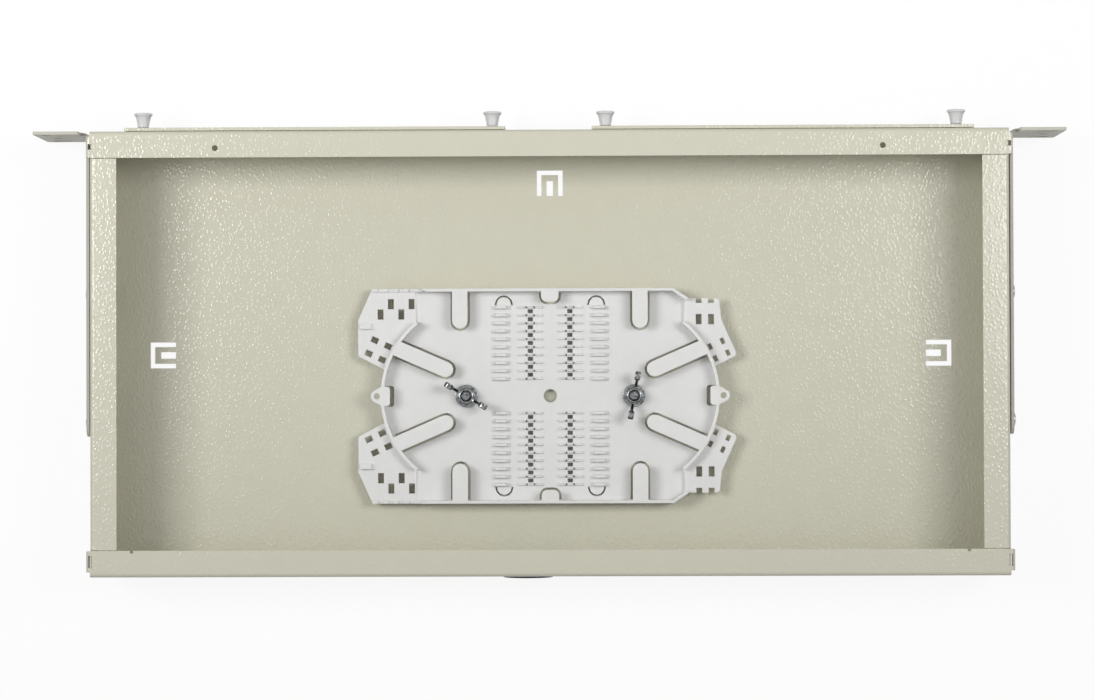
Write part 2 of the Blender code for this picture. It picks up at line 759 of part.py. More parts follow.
def make_front_plate(name, centre_x):
    outline = rounded_rectangle((centre_x, MID_HEIGHT), PLATE_WIDTH, PLATE_HEIGHT, PLATE_CORNER)
    mesh = solid_from_outline(name, outline, 0, PLATE_THICKNESS, facing_front(PLATE_BACK_Y))
    plate = add_part(name, mesh, PAINTED_STEEL)
    holes = []
    first = centre_x - PORT_PITCH * (PORT_COUNT - 1) / 2
    for index in range(PORT_COUNT):
        holes.append(rectangle((first + index * PORT_PITCH, MID_HEIGHT), PORT_WIDTH, PORT_HEIGHT))
    for side in (-1, 1):
        holes.append(circle((centre_x + side * LATCH_SPACING / 2, MID_HEIGHT),
                            SLEEVE_RADIUS + GAP, LATCH_SIDES))
    cut_outlines(plate, f"{name}_holes", holes, -CUT_MARGIN, PLATE_THICKNESS + CUT_MARGIN,
                 facing_front(PLATE_BACK_Y))


# Plunger latches: local Z runs out of the box, away from the front

def point_forward(part, x, y):
    part.location = (x, y, MID_HEIGHT)
    part.rotation_euler = (math.pi / 2, 0, 0)


def make_latch_sleeve(name, x):
    """Split sleeve: a thin flange in front of the plate, and barbed fingers behind the wall."""
    bore = PIN_RADIUS + GAP
    wall_back = -(PLATE_THICKNESS + SHEET + 3 * GAP)
    barb = wall_back - SLEEVE_BARB_LENGTH
    tail = wall_back - SLEEVE_TAIL
    flange_top = SLEEVE_FLANGE_THICKNESS
    profile = [
        (bore, flange_top),
        (SLEEVE_FLANGE_RADIUS - SLEEVE_FLANGE_CHAMFER, flange_top),
        (SLEEVE_FLANGE_RADIUS, 0.0),
        (SLEEVE_RADIUS, 0.0),
        (SLEEVE_RADIUS, wall_back),
        (SLEEVE_BARB_RADIUS, barb),
        (SLEEVE_RADIUS - SLEEVE_TAPER, tail),
        (bore, tail),
    ]
    sleeve = turned_part(name, profile, LATCH_SIDES, CLEAR_NYLON, closed=True)
    point_forward(sleeve, x, PLATE_FRONT_Y - GAP)
    reach = 2 * SLEEVE_BARB_RADIUS
    slots = []
    for width, depth in ((SLEEVE_SLOT, reach), (reach, SLEEVE_SLOT)):
        slots.append(box_mesh("split", (-width / 2, -depth / 2, tail - CUT_MARGIN),
                              (width / 2, depth / 2, wall_back - GAP)))
    for index, slot in enumerate(slots):
        tool = add_tool(f"{name}_split_{index}", slot)
        point_forward(tool, x, PLATE_FRONT_Y - GAP)
        boolean(sleeve, tool, "DIFFERENCE")
    shade_round(sleeve)


def make_latch_plunger(name, x):
    """Flared plunger head on a thin pin that spreads the sleeve's fingers."""
    pin_end = -(SLEEVE_FLANGE_THICKNESS + PLATE_THICKNESS + SHEET + 4 * GAP + PIN_TAIL)
    flare = []
    flare_top = PLUNGER_LENGTH - PLUNGER_RIM
    narrowing = PLUNGER_HEAD_RADIUS - PLUNGER_NECK_RADIUS
    for step in range(PLUNGER_FLARE_STEPS + 1):
        share = step / PLUNGER_FLARE_STEPS
        radius = PLUNGER_HEAD_RADIUS - narrowing * share ** PLUNGER_FLARE_POWER
        flare.append((radius, flare_top * (1 - share)))
    profile = [(0.0, PLUNGER_LENGTH), (PLUNGER_HEAD_RADIUS - PLUNGER_CHAMFER, PLUNGER_LENGTH)]
    profile += flare
    profile += [(PIN_RADIUS, 0.0), (PIN_RADIUS, pin_end + PIN_POINT), (PIN_POINT_RADIUS, pin_end),
                (0.0, pin_end)]
    plunger = turned_part(name, profile, LATCH_SIDES, CLEAR_NYLON)
    point_forward(plunger, x, PLATE_FRONT_Y - 2 * GAP - SLEEVE_FLANGE_THICKNESS)
    shade_round(plunger)


# Rack ears

def ear_skin(name, side):
    """Arm along the side wall, a bend, and the taller ear plate with its rack slots."""
    arm_low = MID_HEIGHT - EAR_ARM_HEIGHT / 2
    arm_high = MID_HEIGHT + EAR_ARM_HEIGHT / 2
    bend_centre_x = ARM_OUTER_X + EAR_BEND_RADIUS
    bend_centre_y = FRONT_Y + EAR_SHEET + EAR_BEND_RADIUS
    plate_inner_x = bend_centre_x + EAR_NECK
    bm = bmesh.new()
    bmesh.ops.create_grid(bm, x_segments=1, y_segments=1, size=0.5)
    bmesh.ops.rotate(bm, verts=bm.verts, matrix=Matrix.Rotation(math.pi / 2, 3, "Y"))
    bmesh.ops.scale(bm, verts=bm.verts,
                    vec=(1, EAR_ARM_REAR_Y - bend_centre_y, arm_high - arm_low))
    bmesh.ops.translate(bm, verts=bm.verts,
                        vec=(ARM_INNER_X, (EAR_ARM_REAR_Y + bend_centre_y) / 2, MID_HEIGHT))
    fold(bm, skin_edges(bm, lambda co: near(co.y, bend_centre_y)),
         (bend_centre_x, bend_centre_y, 0), (0, 0, 1), math.pi / 2, BEND_STEPS)
    extend(bm, skin_edges(bm, lambda co: near(co.y, FRONT_Y)), (plate_inner_x - bend_centre_x, 0, 0))
    extend(bm, skin_edges(bm, lambda co: near(co.x, plate_inner_x)),
           (EAR_EDGE_X - plate_inner_x, 0, 0))

    def beyond_root(co):
        return near(co.y, FRONT_Y) and co.x > plate_inner_x - 1e-6

    rise = (EAR_HEIGHT - EAR_ARM_HEIGHT) / 2
    extend(bm, skin_edges(bm, lambda co: beyond_root(co) and near(co.z, arm_high)), (0, 0, rise))
    extend(bm, skin_edges(bm, lambda co: beyond_root(co) and near(co.z, arm_low)), (0, 0, -rise))
    ear_corners = [
        vert for vert in bm.verts
        if near(abs(vert.co.z - MID_HEIGHT), EAR_HEIGHT / 2)
    ]
    arm_corners = [vert for vert in bm.verts if near(vert.co.y, EAR_ARM_REAR_Y)]
    bmesh.ops.bevel(bm, geom=ear_corners, offset=EAR_CORNER, segments=3, profile=0.5,
                    affect="VERTICES", material=-1)
    bmesh.ops.bevel(bm, geom=[vert for vert in arm_corners if vert.is_valid],
                    offset=EAR_ARM_CORNER, segments=4, profile=0.5, affect="VERTICES", material=-1)
    bmesh.ops.scale(bm, verts=bm.verts, vec=(side, 1, 1))
    return skin_mesh(bm, name, (side * ARM_INNER_X, 0, MID_HEIGHT), (side, 0, 0))


def make_ear(name, side):
    ear = add_part(name, ear_skin(name, side), PAINTED_STEEL)
    skin_to_plate(ear, EAR_SHEET)
    cuts = []
    for direction in (-1, 1):
        slot = rounded_rectangle(
            (side * RACK_HOLE_X, MID_HEIGHT + direction * RACK_HOLE_PITCH / 2),
            RACK_SLOT_LENGTH, RACK_SLOT_HEIGHT, RACK_SLOT_HEIGHT / 2 * 0.98, 4)
        cuts.append(solid_from_outline("rack_slot", slot, -EAR_SHEET - CUT_MARGIN, CUT_MARGIN,
                                       facing_front(FRONT_Y)))
    cuts.append(cylinder_mesh(
        "rack_hole", RACK_HOLE_RADIUS,
        (side * RACK_HOLE_X, FRONT_Y - CUT_MARGIN, MID_HEIGHT),
        (side * RACK_HOLE_X, FRONT_Y + EAR_SHEET + CUT_MARGIN, MID_HEIGHT), HOLE_SIDES))
    for y in EAR_SCREW_Y:
        cuts.append(cylinder_mesh(
            "arm_hole", SCREW_RADIUS + GAP,
            (side * (ARM_INNER_X - CUT_MARGIN / 2), y, MID_HEIGHT),
            (side * (ARM_OUTER_X + CUT_MARGIN), y, MID_HEIGHT), SCREW_SIDES))
    boolean(ear, add_tool(f"{name}_cuts", merge_meshes(f"{name}_cuts", cuts)), "DIFFERENCE")


# Ear screws and blind nuts: local Z points away from the box, out of the side wall

def point_sideways(part, side, x, y):
    part.location = (side * x, y, MID_HEIGHT)
    part.rotation_euler = (0, side * math.pi / 2, 0)


def make_ear_screw(name, side, y):
    profile = [(0.0, SCREW_HEAD_HEIGHT)]
    for share in SCREW_DOME_STEPS:
        profile.append((SCREW_HEAD_RADIUS * share, SCREW_HEAD_HEIGHT * (1 - SCREW_DOME * share ** 3)))
    profile += [
        (SCREW_HEAD_RADIUS, SCREW_HEAD_EDGE),
        (SCREW_HEAD_RADIUS, 0.0),
        (SCREW_RADIUS, 0.0),
        (SCREW_RADIUS, -SCREW_LENGTH + SCREW_POINT),
        (SCREW_RADIUS - SCREW_POINT, -SCREW_LENGTH),
        (0.0, -SCREW_LENGTH),
    ]
    screw = turned_part(name, profile, SCREW_SIDES, ZINC_STEEL)
    point_sideways(screw, side, ARM_OUTER_X + GAP, y)
    shade_round(screw)


def make_blind_nut(name, side, y):
    """Blind nut: a flange outside the wall, a bulge that grips inside it, and a threaded barrel."""
    flange = EAR_ARM_STANDOFF - 2 * GAP
    bore = SCREW_RADIUS + GAP
    bulge_start = -(SHEET + 2 * GAP)
    bulge_end = bulge_start - NUT_BULGE_LENGTH
    tail = -NUT_LENGTH
    profile = [
        (bore, flange),
        (NUT_FLANGE_RADIUS, flange),
        (NUT_FLANGE_RADIUS, 0.0),
        (NUT_BARREL_RADIUS, 0.0),
        (NUT_BARREL_RADIUS, bulge_start),
        (NUT_BULGE_RADIUS, (2 * bulge_start + bulge_end) / 3),
        (NUT_BARREL_RADIUS, bulge_end),
        (NUT_BARREL_RADIUS, tail),
        (bore, tail),
    ]
    nut = turned_part(name, profile, SCREW_SIDES, ZINC_STEEL, closed=True)
    point_sideways(nut, side, HALF_WIDTH + GAP, y)
    shade_round(nut)


# Splice tray, drawn in its own plan with its centre at the origin and the front at -Y

def arc_angle_at(x):
    return math.acos((x - ARC_CENTRE_X) / ARC_RADIUS)


def arc_point(side, angle, radius=ARC_RADIUS):
    return (side * (ARC_CENTRE_X + radius * math.cos(angle)), -radius * math.sin(angle))


def arc_points(side, start, end, steps, radius=ARC_RADIUS):
    return [arc_point(side, start + (end - start) * step / steps, radius) for step in range(steps + 1)]


def chamfer_y(x):
    """Y of the outer face of the rim's chamfered front corner, at a distance from the middle."""
    return -TRAY_HALF_DEPTH + RIM_CHAMFER_Y * (x - RIM_CORNER_X) / (RIM_CHAMFER_X - RIM_CORNER_X)


def tray_pan_outline():
    """Plan of the tray's floor, whose ends follow the rim's arcs."""
    sweep = arc_angle_at(ARC_END_X)
    front = arc_points(1, 0.0, sweep, ARC_STEPS // 2)
    front += [(ARC_END_X, -TRAY_HALF_DEPTH), (-RIM_CORNER_X, -TRAY_HALF_DEPTH),
              (-ARC_END_X, chamfer_y(ARC_END_X))]
    front += arc_points(-1, sweep, 0.0, ARC_STEPS // 2)
    return front + mirror_y(front)[1:-1]


def wing_root(side, root_y):
    """Inner edge of a wing, which runs in the middle of the rim's wall."""
    start = math.asin(root_y / ARC_RADIUS)
    end = arc_angle_at(RAMP_TOP_X)
    return arc_points(side, start, end, WING_ARC_STEPS, ARC_RADIUS - TRAY_WALL / 2)


def left_wing_outline():
    root = wing_root(1, LEFT_WING_ROOT_Y)
    edge = [(RAMP_TOP_X, -TRAY_HALF_DEPTH), (LEFT_WING_EDGE_X, -TRAY_HALF_DEPTH),
            (LEFT_WING_REACH, -WING_FAR_Y), (LEFT_WING_REACH, -WING_NEAR_Y)]
    return rounded(root + edge, [0] * (len(root) + len(edge) - 1) + [WING_CORNER])


def right_wing_outline():
    root = wing_root(-1, RIGHT_WING_ROOT_Y)
    shoulder_y = chamfer_y(RIM_CHAMFER_X)
    half = TIE_HOLE_WIDTH / 2
    edge = [(-RAMP_TOP_X, chamfer_y(RAMP_TOP_X)), (-RIM_CHAMFER_X, shoulder_y)]
    for x in EDGE_NOTCH_X:
        edge += [(-x + half, shoulder_y), (-x + half, shoulder_y + EDGE_NOTCH_DEPTH),
                 (-x - half, shoulder_y + EDGE_NOTCH_DEPTH), (-x - half, shoulder_y)]
    tail = [(-RIGHT_WING_EDGE_X, shoulder_y), (-RIGHT_WING_WAIST_X, -WING_FAR_Y),
            (-RIGHT_WING_REACH, -WING_NEAR_Y)]
    return rounded(root + edge + tail,
                   [0] * (len(root) + len(edge)) + [WING_CORNER, 0, WING_CORNER])


def slot_outline(start, end, width, steps=ROUND_STEPS):
    """A straight slot from a flat end at the start to a round end whose centre is the end."""
    start = Vector(start)
    end = Vector(end)
    direction = (end - start).normalized()
    heading = math.atan2(direction.y, direction.x)
    across = Vector((-direction.y, direction.x)) * width / 2
    nose = arc(end, width / 2, heading - math.pi / 2, heading + math.pi / 2, steps)
    return [tuple(start - across)] + nose + [tuple(start + across)]


def slant_tab_root(side, radius):
    """Point of the slanted tab's middle line that lies on a circle of the rim's arc."""
    end = Vector((SLANT_TAB_X - ARC_CENTRE_X, -SLANT_TAB_Y))
    heading = Vector((math.cos(SLANT_TAB_ANGLE), -math.sin(SLANT_TAB_ANGLE)))
    along = end.dot(heading)
    distance = -along + math.sqrt(along ** 2 - end.length_squared + radius ** 2)
    root = end + heading * distance
    return (side * (ARC_CENTRE_X + root.x), root.y)


def tab_outlines(extra, root_inset):
    """Plan of the retaining tabs on the front half, widened by a clearance for their core holes."""
    outlines = []
    width = TAB_WIDTH + 2 * extra
    root_y = -TRAY_HALF_DEPTH + root_inset
    for side in (-1, 1):
        x = side * SIDE_TAB_X
        outlines.append(slot_outline((x, root_y), (x, -SIDE_TAB_END), width))
        root = slant_tab_root(side, ARC_RADIUS - root_inset)
        outlines.append(slot_outline(root, (side * SLANT_TAB_X, -SLANT_TAB_Y), width))
    half = MIDDLE_TAB_WIDTH / 2 + extra
    end_y = -MIDDLE_TAB_END + extra
    outlines.append(rounded(
        [(-half, root_y), (half, root_y), (half, end_y), (-half, end_y)],
        [0, 0, MIDDLE_TAB_CORNER + extra, MIDDLE_TAB_CORNER + extra], 4))
    return outlines


def tongue_slot(side):
    """U-shaped slot that frees a tongue just past the last rib of a comb."""
    outer = TONGUE_RADIUS
    inner = TONGUE_RADIUS - TONGUE_SLOT
    x = side * TONGUE_X
    foot_y = -(COMB_FIRST_Y + (COMB_RIBS - 1) * COMB_PITCH + CLIP_THICKNESS / 2 + GAP)
    centre = (x, foot_y - GAP)
    outside = arc(centre, outer, -math.pi, 0.0, ROUND_STEPS)
    inside = arc(centre, inner, 0.0, -math.pi, ROUND_STEPS)
    return ([(x - outer, foot_y)] + outside + [(x + outer, foot_y), (x + inner, foot_y)] + inside
            + [(x - inner, foot_y)])


def slanted_holes(first, pitch, slant, length, width):
    """Two by two cable-tie holes on a grid turned to the wing's slanted edge."""
    across = Vector((math.cos(slant), -math.sin(slant))) * pitch[0]
    along = Vector((math.sin(slant), math.cos(slant))) * pitch[1]
    centres = [Vector(first) + across * column + along * row for column in range(2) for row in range(2)]
    return [rectangle(centre, length, width, -slant) for centre in centres]


def wing_holes():
    """Cable-tie holes in the two front wings."""
    left = []
    for index in range(WING_HOLE_COUNT):
        y = -WING_HOLE_Y + (index % 2) * WING_HOLE_PITCH
        left.append(rectangle((WING_HOLE_X + index * WING_HOLE_PITCH, y), TIE_HOLE_WIDTH,
                              TIE_HOLE_LENGTH))
    left += slanted_holes(LEFT_SLANT_HOLE, LEFT_SLANT_PITCH, WING_SLANT, SLANT_HOLE_LENGTH,
                          SLANT_HOLE_WIDTH)
    right = [rectangle((x, -RIGHT_HOLE_Y), TIE_HOLE_WIDTH, TIE_HOLE_LENGTH) for x in EDGE_NOTCH_X]
    right += slanted_holes(RIGHT_SLANT_HOLE, RIGHT_SLANT_PITCH, WING_SLANT, SMALL_HOLE_LENGTH,
                           SMALL_HOLE_WIDTH)
    return left + [mirror_x(hole) for hole in right]


def comb_holes():
    holes = []
    for index in range(COMB_RIBS - 1):
        y = -(COMB_FIRST_Y + (index + 0.5) * COMB_PITCH)
        for side in (-1, 1):
            holes.append(rectangle((side * COMB_COLUMN_X, y), COMB_HOLE_WIDTH, COMB_HOLE_DEPTH))
    return holes


def lug_hole_outline(side):
    """Core hole in the floor below the lug's inner tab."""
    half = LUG_TAB_WIDTH / 2 + TAB_CLEARANCE / 2
    inner = LUG_TAB_END_X - LUG_HOLE_REACH
    outer = ARC_CENTRE_X + ARC_RADIUS - TRAY_WALL - CORE_HOLE_SETBACK
    points = [(outer, -half), (outer, half), (inner, half), (inner, -half)]
    outline = rounded(points, [0, 0, LUG_TAB_CORNER, LUG_TAB_CORNER])
    return outline if side > 0 else mirror_x(outline)


def lug_outline(side):
    """Lug with its screw hole outside the rim, run inwards over the rim as a short tab."""
    half = LUG_TAB_WIDTH / 2
    root_x = ARC_CENTRE_X + ARC_RADIUS - TRAY_WALL / 2
    nose = arc((LUG_X, 0), LUG_RADIUS, -LUG_NOSE_ANGLE, LUG_NOSE_ANGLE, LUG_NOSE_STEPS)
    points = nose + rounded(
        [(root_x, half + GAP), (LUG_TAB_END_X, half), (LUG_TAB_END_X, -half), (root_x, -half - GAP)],
        [0, LUG_TAB_CORNER, LUG_TAB_CORNER, 0])
    return points if side > 0 else mirror_x(points)


def tray_floor_holes():
    half_holes = tab_outlines(TAB_CLEARANCE, TRAY_WALL + CORE_HOLE_SETBACK) + comb_holes()
    half_holes += [tongue_slot(-1), tongue_slot(1)]
    holes = []
    for hole in half_holes:
        holes += [hole, mirror_y(hole)]
    for side in (-1, 1):
        holes.append(lug_hole_outline(side))
        holes.append(circle((side * STUD_SPACING / 2, 0), STUD_HOLE_RADIUS, ROUND_SIDES))
    holes.append(circle((0, 0), CENTRE_HOLE_RADIUS, ROUND_SIDES))
    return holes


def tray_long_wall_meshes():
    """Tall rim along both long sides, with a chamfered corner at its right end."""
    edge_y = -TRAY_HALF_DEPTH
    inner_y = edge_y + TRAY_WALL
    corner = Vector((-RIM_CORNER_X, edge_y))
    foot = Vector((-RIM_CHAMFER_X, chamfer_y(RIM_CHAMFER_X)))
    slope = (foot - corner).normalized()
    inner_foot = foot + Vector((slope.y, -slope.x)) * TRAY_WALL
    inner_corner_x = inner_foot.x - slope.x / slope.y * (inner_foot.y - inner_y)
    plan = [(RIM_END_X, edge_y), tuple(corner), tuple(foot), tuple(inner_foot),
            (inner_corner_x, inner_y), (RIM_END_X - RIM_END_SLANT, inner_y)]
    return [solid_from_outline("long_wall", outline, TRAY_FLOOR / 2, RIM_TOP_LEVEL)
            for outline in (plan, mirror_y(plan))]


def along_y(name, profile, near_y, far_y):
    """A profile in the XZ plane, run between two distances in front of and behind the middle."""
    front = solid_from_outline(name, profile, near_y, far_y, facing_front(0))
    rear = solid_from_outline(name, profile, -far_y, -near_y, facing_front(0))
    return [front, rear]


def tray_low_wall_meshes():
    """Low wall along the edges of the left wings, notched beside each row of cable-tie holes."""
    sunk = TRAY_FLOOR / 2
    top = WING_TOP_LEVEL + WING_WALL_HEIGHT
    half = TIE_HOLE_WIDTH / 2
    start_x = RIM_END_X - RIM_END_SLANT / 2
    profile = [(start_x, sunk), (ARC_END_X - GAP, sunk), (RAMP_TOP_X, WING_LEVEL + sunk),
               (LEFT_WING_EDGE_X, WING_LEVEL + sunk), (LEFT_WING_EDGE_X, top)]
    for index in reversed(range(WING_HOLE_COUNT)):
        x = WING_HOLE_X + index * WING_HOLE_PITCH
        profile += [(x + half, top), (x + half, top - WING_NOTCH_DEPTH),
                    (x - half, top - WING_NOTCH_DEPTH), (x - half, top)]
    profile.append((start_x, top))
    return along_y("low_wall", profile, TRAY_HALF_DEPTH - TRAY_WALL, TRAY_HALF_DEPTH)


def tray_arc_wall_meshes():
    sweep = arc_angle_at(ARC_END_X)
    meshes = []
    for side in (-1, 1):
        outer = arc_points(side, -sweep, sweep, ARC_STEPS)
        inner = arc_points(side, sweep, -sweep, ARC_STEPS, ARC_RADIUS - TRAY_WALL)
        meshes.append(solid_from_outline("arc_wall", outer + inner, TRAY_FLOOR / 2, RIM_TOP_LEVEL))
    return meshes


def comb_places():
    """Side, end and Y of every rib of the four combs."""
    return [
        (side, end, end * (COMB_FIRST_Y + index * COMB_PITCH))
        for side in (-1, 1) for end in (-1, 1) for index in range(COMB_RIBS)
    ]


def drafted_bar(name, place, base, top, height):
    """A bar on the tray's floor that narrows from its base to its top, as a moulded one does."""
    low = TRAY_FLOOR / 2
    high = TRAY_FLOOR + height
    bm = bmesh.new()
    bmesh.ops.create_cube(bm, size=1.0)
    upper = [vert for vert in bm.verts if vert.co.z > 0]
    bmesh.ops.scale(bm, verts=upper, vec=(top[0] / base[0], top[1] / base[1], 1.0))
    bmesh.ops.scale(bm, verts=bm.verts, vec=(base[0], base[1], high - low))
    bmesh.ops.translate(bm, verts=bm.verts, vec=(*place, (low + high) / 2))
    return finish_mesh(bm, name)


def comb_rib_meshes():
    """Low ribs that divide the splice channels, on both sides of the row of square holes."""
    middle = (RIB_INNER_X + RIB_OUTER_X) / 2
    length = RIB_OUTER_X - RIB_INNER_X
    base = (length, RIB_THICKNESS)
    top = (length - 2 * RIB_END_DRAFT, RIB_TOP_THICKNESS)
    return [drafted_bar("rib", (side * middle, y), base, top, RIB_HEIGHT)
            for side, end, y in comb_places()]


def comb_clip_meshes():
    """Taller arched clips that keep the splice sleeves in their channels."""
    middle = (CLIP_INNER_X + CLIP_OUTER_X) / 2
    base = (CLIP_OUTER_X - CLIP_INNER_X, CLIP_THICKNESS)
    top = (CLIP_TOP_LENGTH, CLIP_TOP_THICKNESS)
    return [drafted_bar("clip", (side * middle, y), base, top, CLIP_HEIGHT)
            for side, end, y in comb_places()]


def wing_meshes():
    meshes = []
    for outline in (left_wing_outline(), right_wing_outline()):
        for plan in (outline, mirror_y(outline)):
            meshes.append(solid_from_outline("wing", plan, WING_LEVEL, WING_TOP_LEVEL))
    return meshes


def ramp_meshes():
    """Slopes from the floor up to the wings, between the ends of the arcs and the long walls."""
    sunk = TRAY_FLOOR / 2
    lap_x = RAMP_TOP_X + sunk / 2
    near_y = -arc_point(1, arc_angle_at(ARC_END_X))[1] - GAP
    left_far_y = TRAY_HALF_DEPTH - TRAY_WALL / 2
    right_far_y = -chamfer_y(lap_x) - GAP
    meshes = []
    for side, foot_x, far_y in ((1, LEFT_RAMP_FOOT_X, left_far_y), (-1, RIGHT_RAMP_FOOT_X, right_far_y)):
        profile = [(foot_x, sunk), (ARC_END_X - GAP, sunk), (lap_x, WING_LEVEL + sunk),
                   (lap_x, WING_TOP_LEVEL), (RAMP_TOP_X, WING_TOP_LEVEL), (foot_x, TRAY_FLOOR)]
        meshes += along_y("ramp", profile if side > 0 else mirror_x(profile), near_y, far_y)
    return meshes


def tray_tab_meshes():
    outlines = [lug_outline(-1), lug_outline(1)]
    for outline in tab_outlines(0.0, TRAY_WALL / 2):
        outlines += [outline, mirror_y(outline)]
    return [solid_from_outline("tab", outline, RIM_TOP_LEVEL - TAB_THICKNESS, RIM_TOP_LEVEL)
            for outline in outlines]


def wing_finger_meshes():
    """Small hooked fingers that hold a cable on the left wings."""
    sunk = WING_LEVEL + TRAY_FLOOR / 2
    top = WING_TOP_LEVEL + FINGER_HEIGHT
    profile = [(FINGER_OUTER_X, sunk), (FINGER_OUTER_X, top), (FINGER_HOOK_X, top),
               (FINGER_HOOK_X, top - FINGER_HEIGHT / 2), (FINGER_FOOT_X, sunk)]
    return along_y("finger", profile, FINGER_Y - FINGER_WIDTH / 2, FINGER_Y + FINGER_WIDTH / 2)


def lug_screw_hole_meshes():
    return [
        cylinder_mesh("lug_hole", LUG_HOLE_RADIUS,
                      (side * LUG_X, 0, RIM_TOP_LEVEL - TAB_THICKNESS - CUT_MARGIN),
                      (side * LUG_X, 0, RIM_TOP_LEVEL + CUT_MARGIN), HOLE_SIDES)
        for side in (-1, 1)
    ]


def wing_hole_meshes():
    holes = wing_holes()
    return [solid_from_outline("wing_hole", plan, WING_LEVEL - GAP, WING_TOP_LEVEL + GAP)
            for hole in holes for plan in (hole, mirror_y(hole))]


def make_splice_tray():
    """Floor with its holes, then the walls, wings, combs and tabs, each joined on in turn."""
    mesh = solid_from_outline("splice_tray", tray_pan_outline(), 0, TRAY_FLOOR)
    tray = add_part("splice_tray", mesh, WHITE_PLASTIC)
    tray.location = (0, TRAY_CENTRE_Y, TRAY_BASE)
    bpy.context.view_layer.update()
    cut_outlines(tray, "tray_floor_holes", tray_floor_holes(), -CUT_MARGIN, TRAY_FLOOR + GAP)
    steps = [
        ("tray_arc_walls", tray_arc_wall_meshes(), "UNION"),
        ("tray_long_walls", tray_long_wall_meshes(), "UNION"),
        ("tray_wings", wing_meshes(), "UNION"),
        ("tray_low_walls", tray_low_wall_meshes(), "UNION"),
        ("tray_ramps", ramp_meshes() + wing_finger_meshes(), "UNION"),
        ("tray_wing_holes", wing_hole_meshes(), "DIFFERENCE"),
        ("tray_ribs", comb_rib_meshes(), "UNION"),
        ("tray_clips", comb_clip_meshes(), "UNION"),
        ("tray_tabs", tray_tab_meshes(), "UNION"),
        ("tray_lug_holes", lug_screw_hole_meshes(), "DIFFERENCE"),
    ]
    for name, meshes, operation in steps:
        tool = add_tool(name, merge_meshes(name, meshes))
        tool.location = tray.location
        boolean(tray, tool, operation)


# Tray fixings

def make_stud(name, x):
    stud = turned_part(
        name,
        [(0.0, STUD_TOP), (STUD_RADIUS - STUD_CHAMFER, STUD_TOP),
         (STUD_RADIUS, STUD_TOP - STUD_CHAMFER),
         (STUD_RADIUS, SHEET + GAP), (0.0, SHEET + GAP)],
        ROUND_SIDES, ZINC_STEEL)
    stud.location = (x, TRAY_CENTRE_Y, 0)
    shade_round(stud)


def make_ring(name, x, outer, inner, low, high):
    ring = turned_part(name, [(inner, high), (outer, high), (outer, low), (inner, low)],
                       ROUND_SIDES, ZINC_STEEL, closed=True)
    ring.location = (x, TRAY_CENTRE_Y, 0)
    shade_round(ring)


def make_wing_nut(name, x, turn):
    """Wing nut: a tapered hub and two wings that rise outwards to thick rounded tips."""
    profile = [
        (NUT_BORE, NUT_HEIGHT),
        (NUT_TOP_RADIUS, NUT_HEIGHT),
        (NUT_TOP_RADIUS + NUT_CHAMFER, NUT_HEIGHT - NUT_CHAMFER),
        (NUT_BASE_RADIUS, NUT_SKIRT),
        (NUT_BASE_RADIUS, 0.0),
        (NUT_BORE, 0.0),
    ]
    nut = turned_part(name, profile, ROUND_SIDES, ZINC_STEEL, closed=True)
    placing = Matrix.Translation((x, TRAY_CENTRE_Y, WING_NUT_BASE)) @ Matrix.Rotation(turn, 4, "Z")
    nut.matrix_world = placing
    tip_x = (WING_SPAN - WING_TIP_LENGTH) / 2
    tip_z = WING_RISE - WING_TIP_HEIGHT / 2
    root_x = NUT_TOP_RADIUS - NUT_CHAMFER
    web = [
        (root_x, WEB_BOTTOM), (NUT_BASE_RADIUS + NUT_CHAMFER, WEB_BOTTOM), WEB_BEND,
        (tip_x, tip_z - WEB_TIP_DEPTH / 2), (tip_x, tip_z + WEB_TIP_DEPTH / 2), WEB_TOP,
        (WEB_SHOULDER_X, NUT_HEIGHT - NUT_CHAMFER), (root_x, NUT_HEIGHT - 2 * NUT_CHAMFER),
    ]
    tip = rounded_rectangle((tip_x, tip_z), WING_TIP_LENGTH, WING_TIP_HEIGHT, WING_TIP_CORNER)
    for part_name, outline, width in (("web", web, WING_WEB), ("tip", tip, WING_TIP)):
        meshes = []
        for half_turn in (0.0, math.pi):
            turn_wing = Matrix.Rotation(half_turn, 4, "Z") @ Matrix.Rotation(math.pi / 2, 4, "X")
            meshes.append(solid_from_outline(part_name, outline, -width / 2, width / 2, turn_wing))
        tool = add_tool(f"{name}_{part_name}", merge_meshes(f"{name}_{part_name}", meshes))
        tool.matrix_world = placing
        boolean(nut, tool, "UNION")
    shade_round(nut)


# Rear cable entry: local Z points out of the rear wall

def make_cable_grommet():
    bore = ENTRY_BORE
    wall_inside = -(SHEET + GAP)
    profile = [
        (bore, GAP + ENTRY_LIP),
        (ENTRY_LIP_RADIUS - ENTRY_LIP_CHAMFER, GAP + ENTRY_LIP),
        (ENTRY_LIP_RADIUS, GAP),
        (ENTRY_BODY_RADIUS, GAP),
        (ENTRY_BODY_RADIUS, wall_inside),
        (ENTRY_LIP_RADIUS, wall_inside),
        (ENTRY_LIP_RADIUS - ENTRY_LIP_CHAMFER, wall_inside - ENTRY_LIP),
        (bore, wall_inside - ENTRY_LIP),
    ]
    grommet = turned_part("rear_cable_grommet", profile, ENTRY_SIDES, BLACK_RUBBER, closed=True)
    grommet.location = (ENTRY_X, HALF_DEPTH, MID_HEIGHT)
    grommet.rotation_euler = (-math.pi / 2, 0, 0)
    shade_round(grommet)


# The whole box

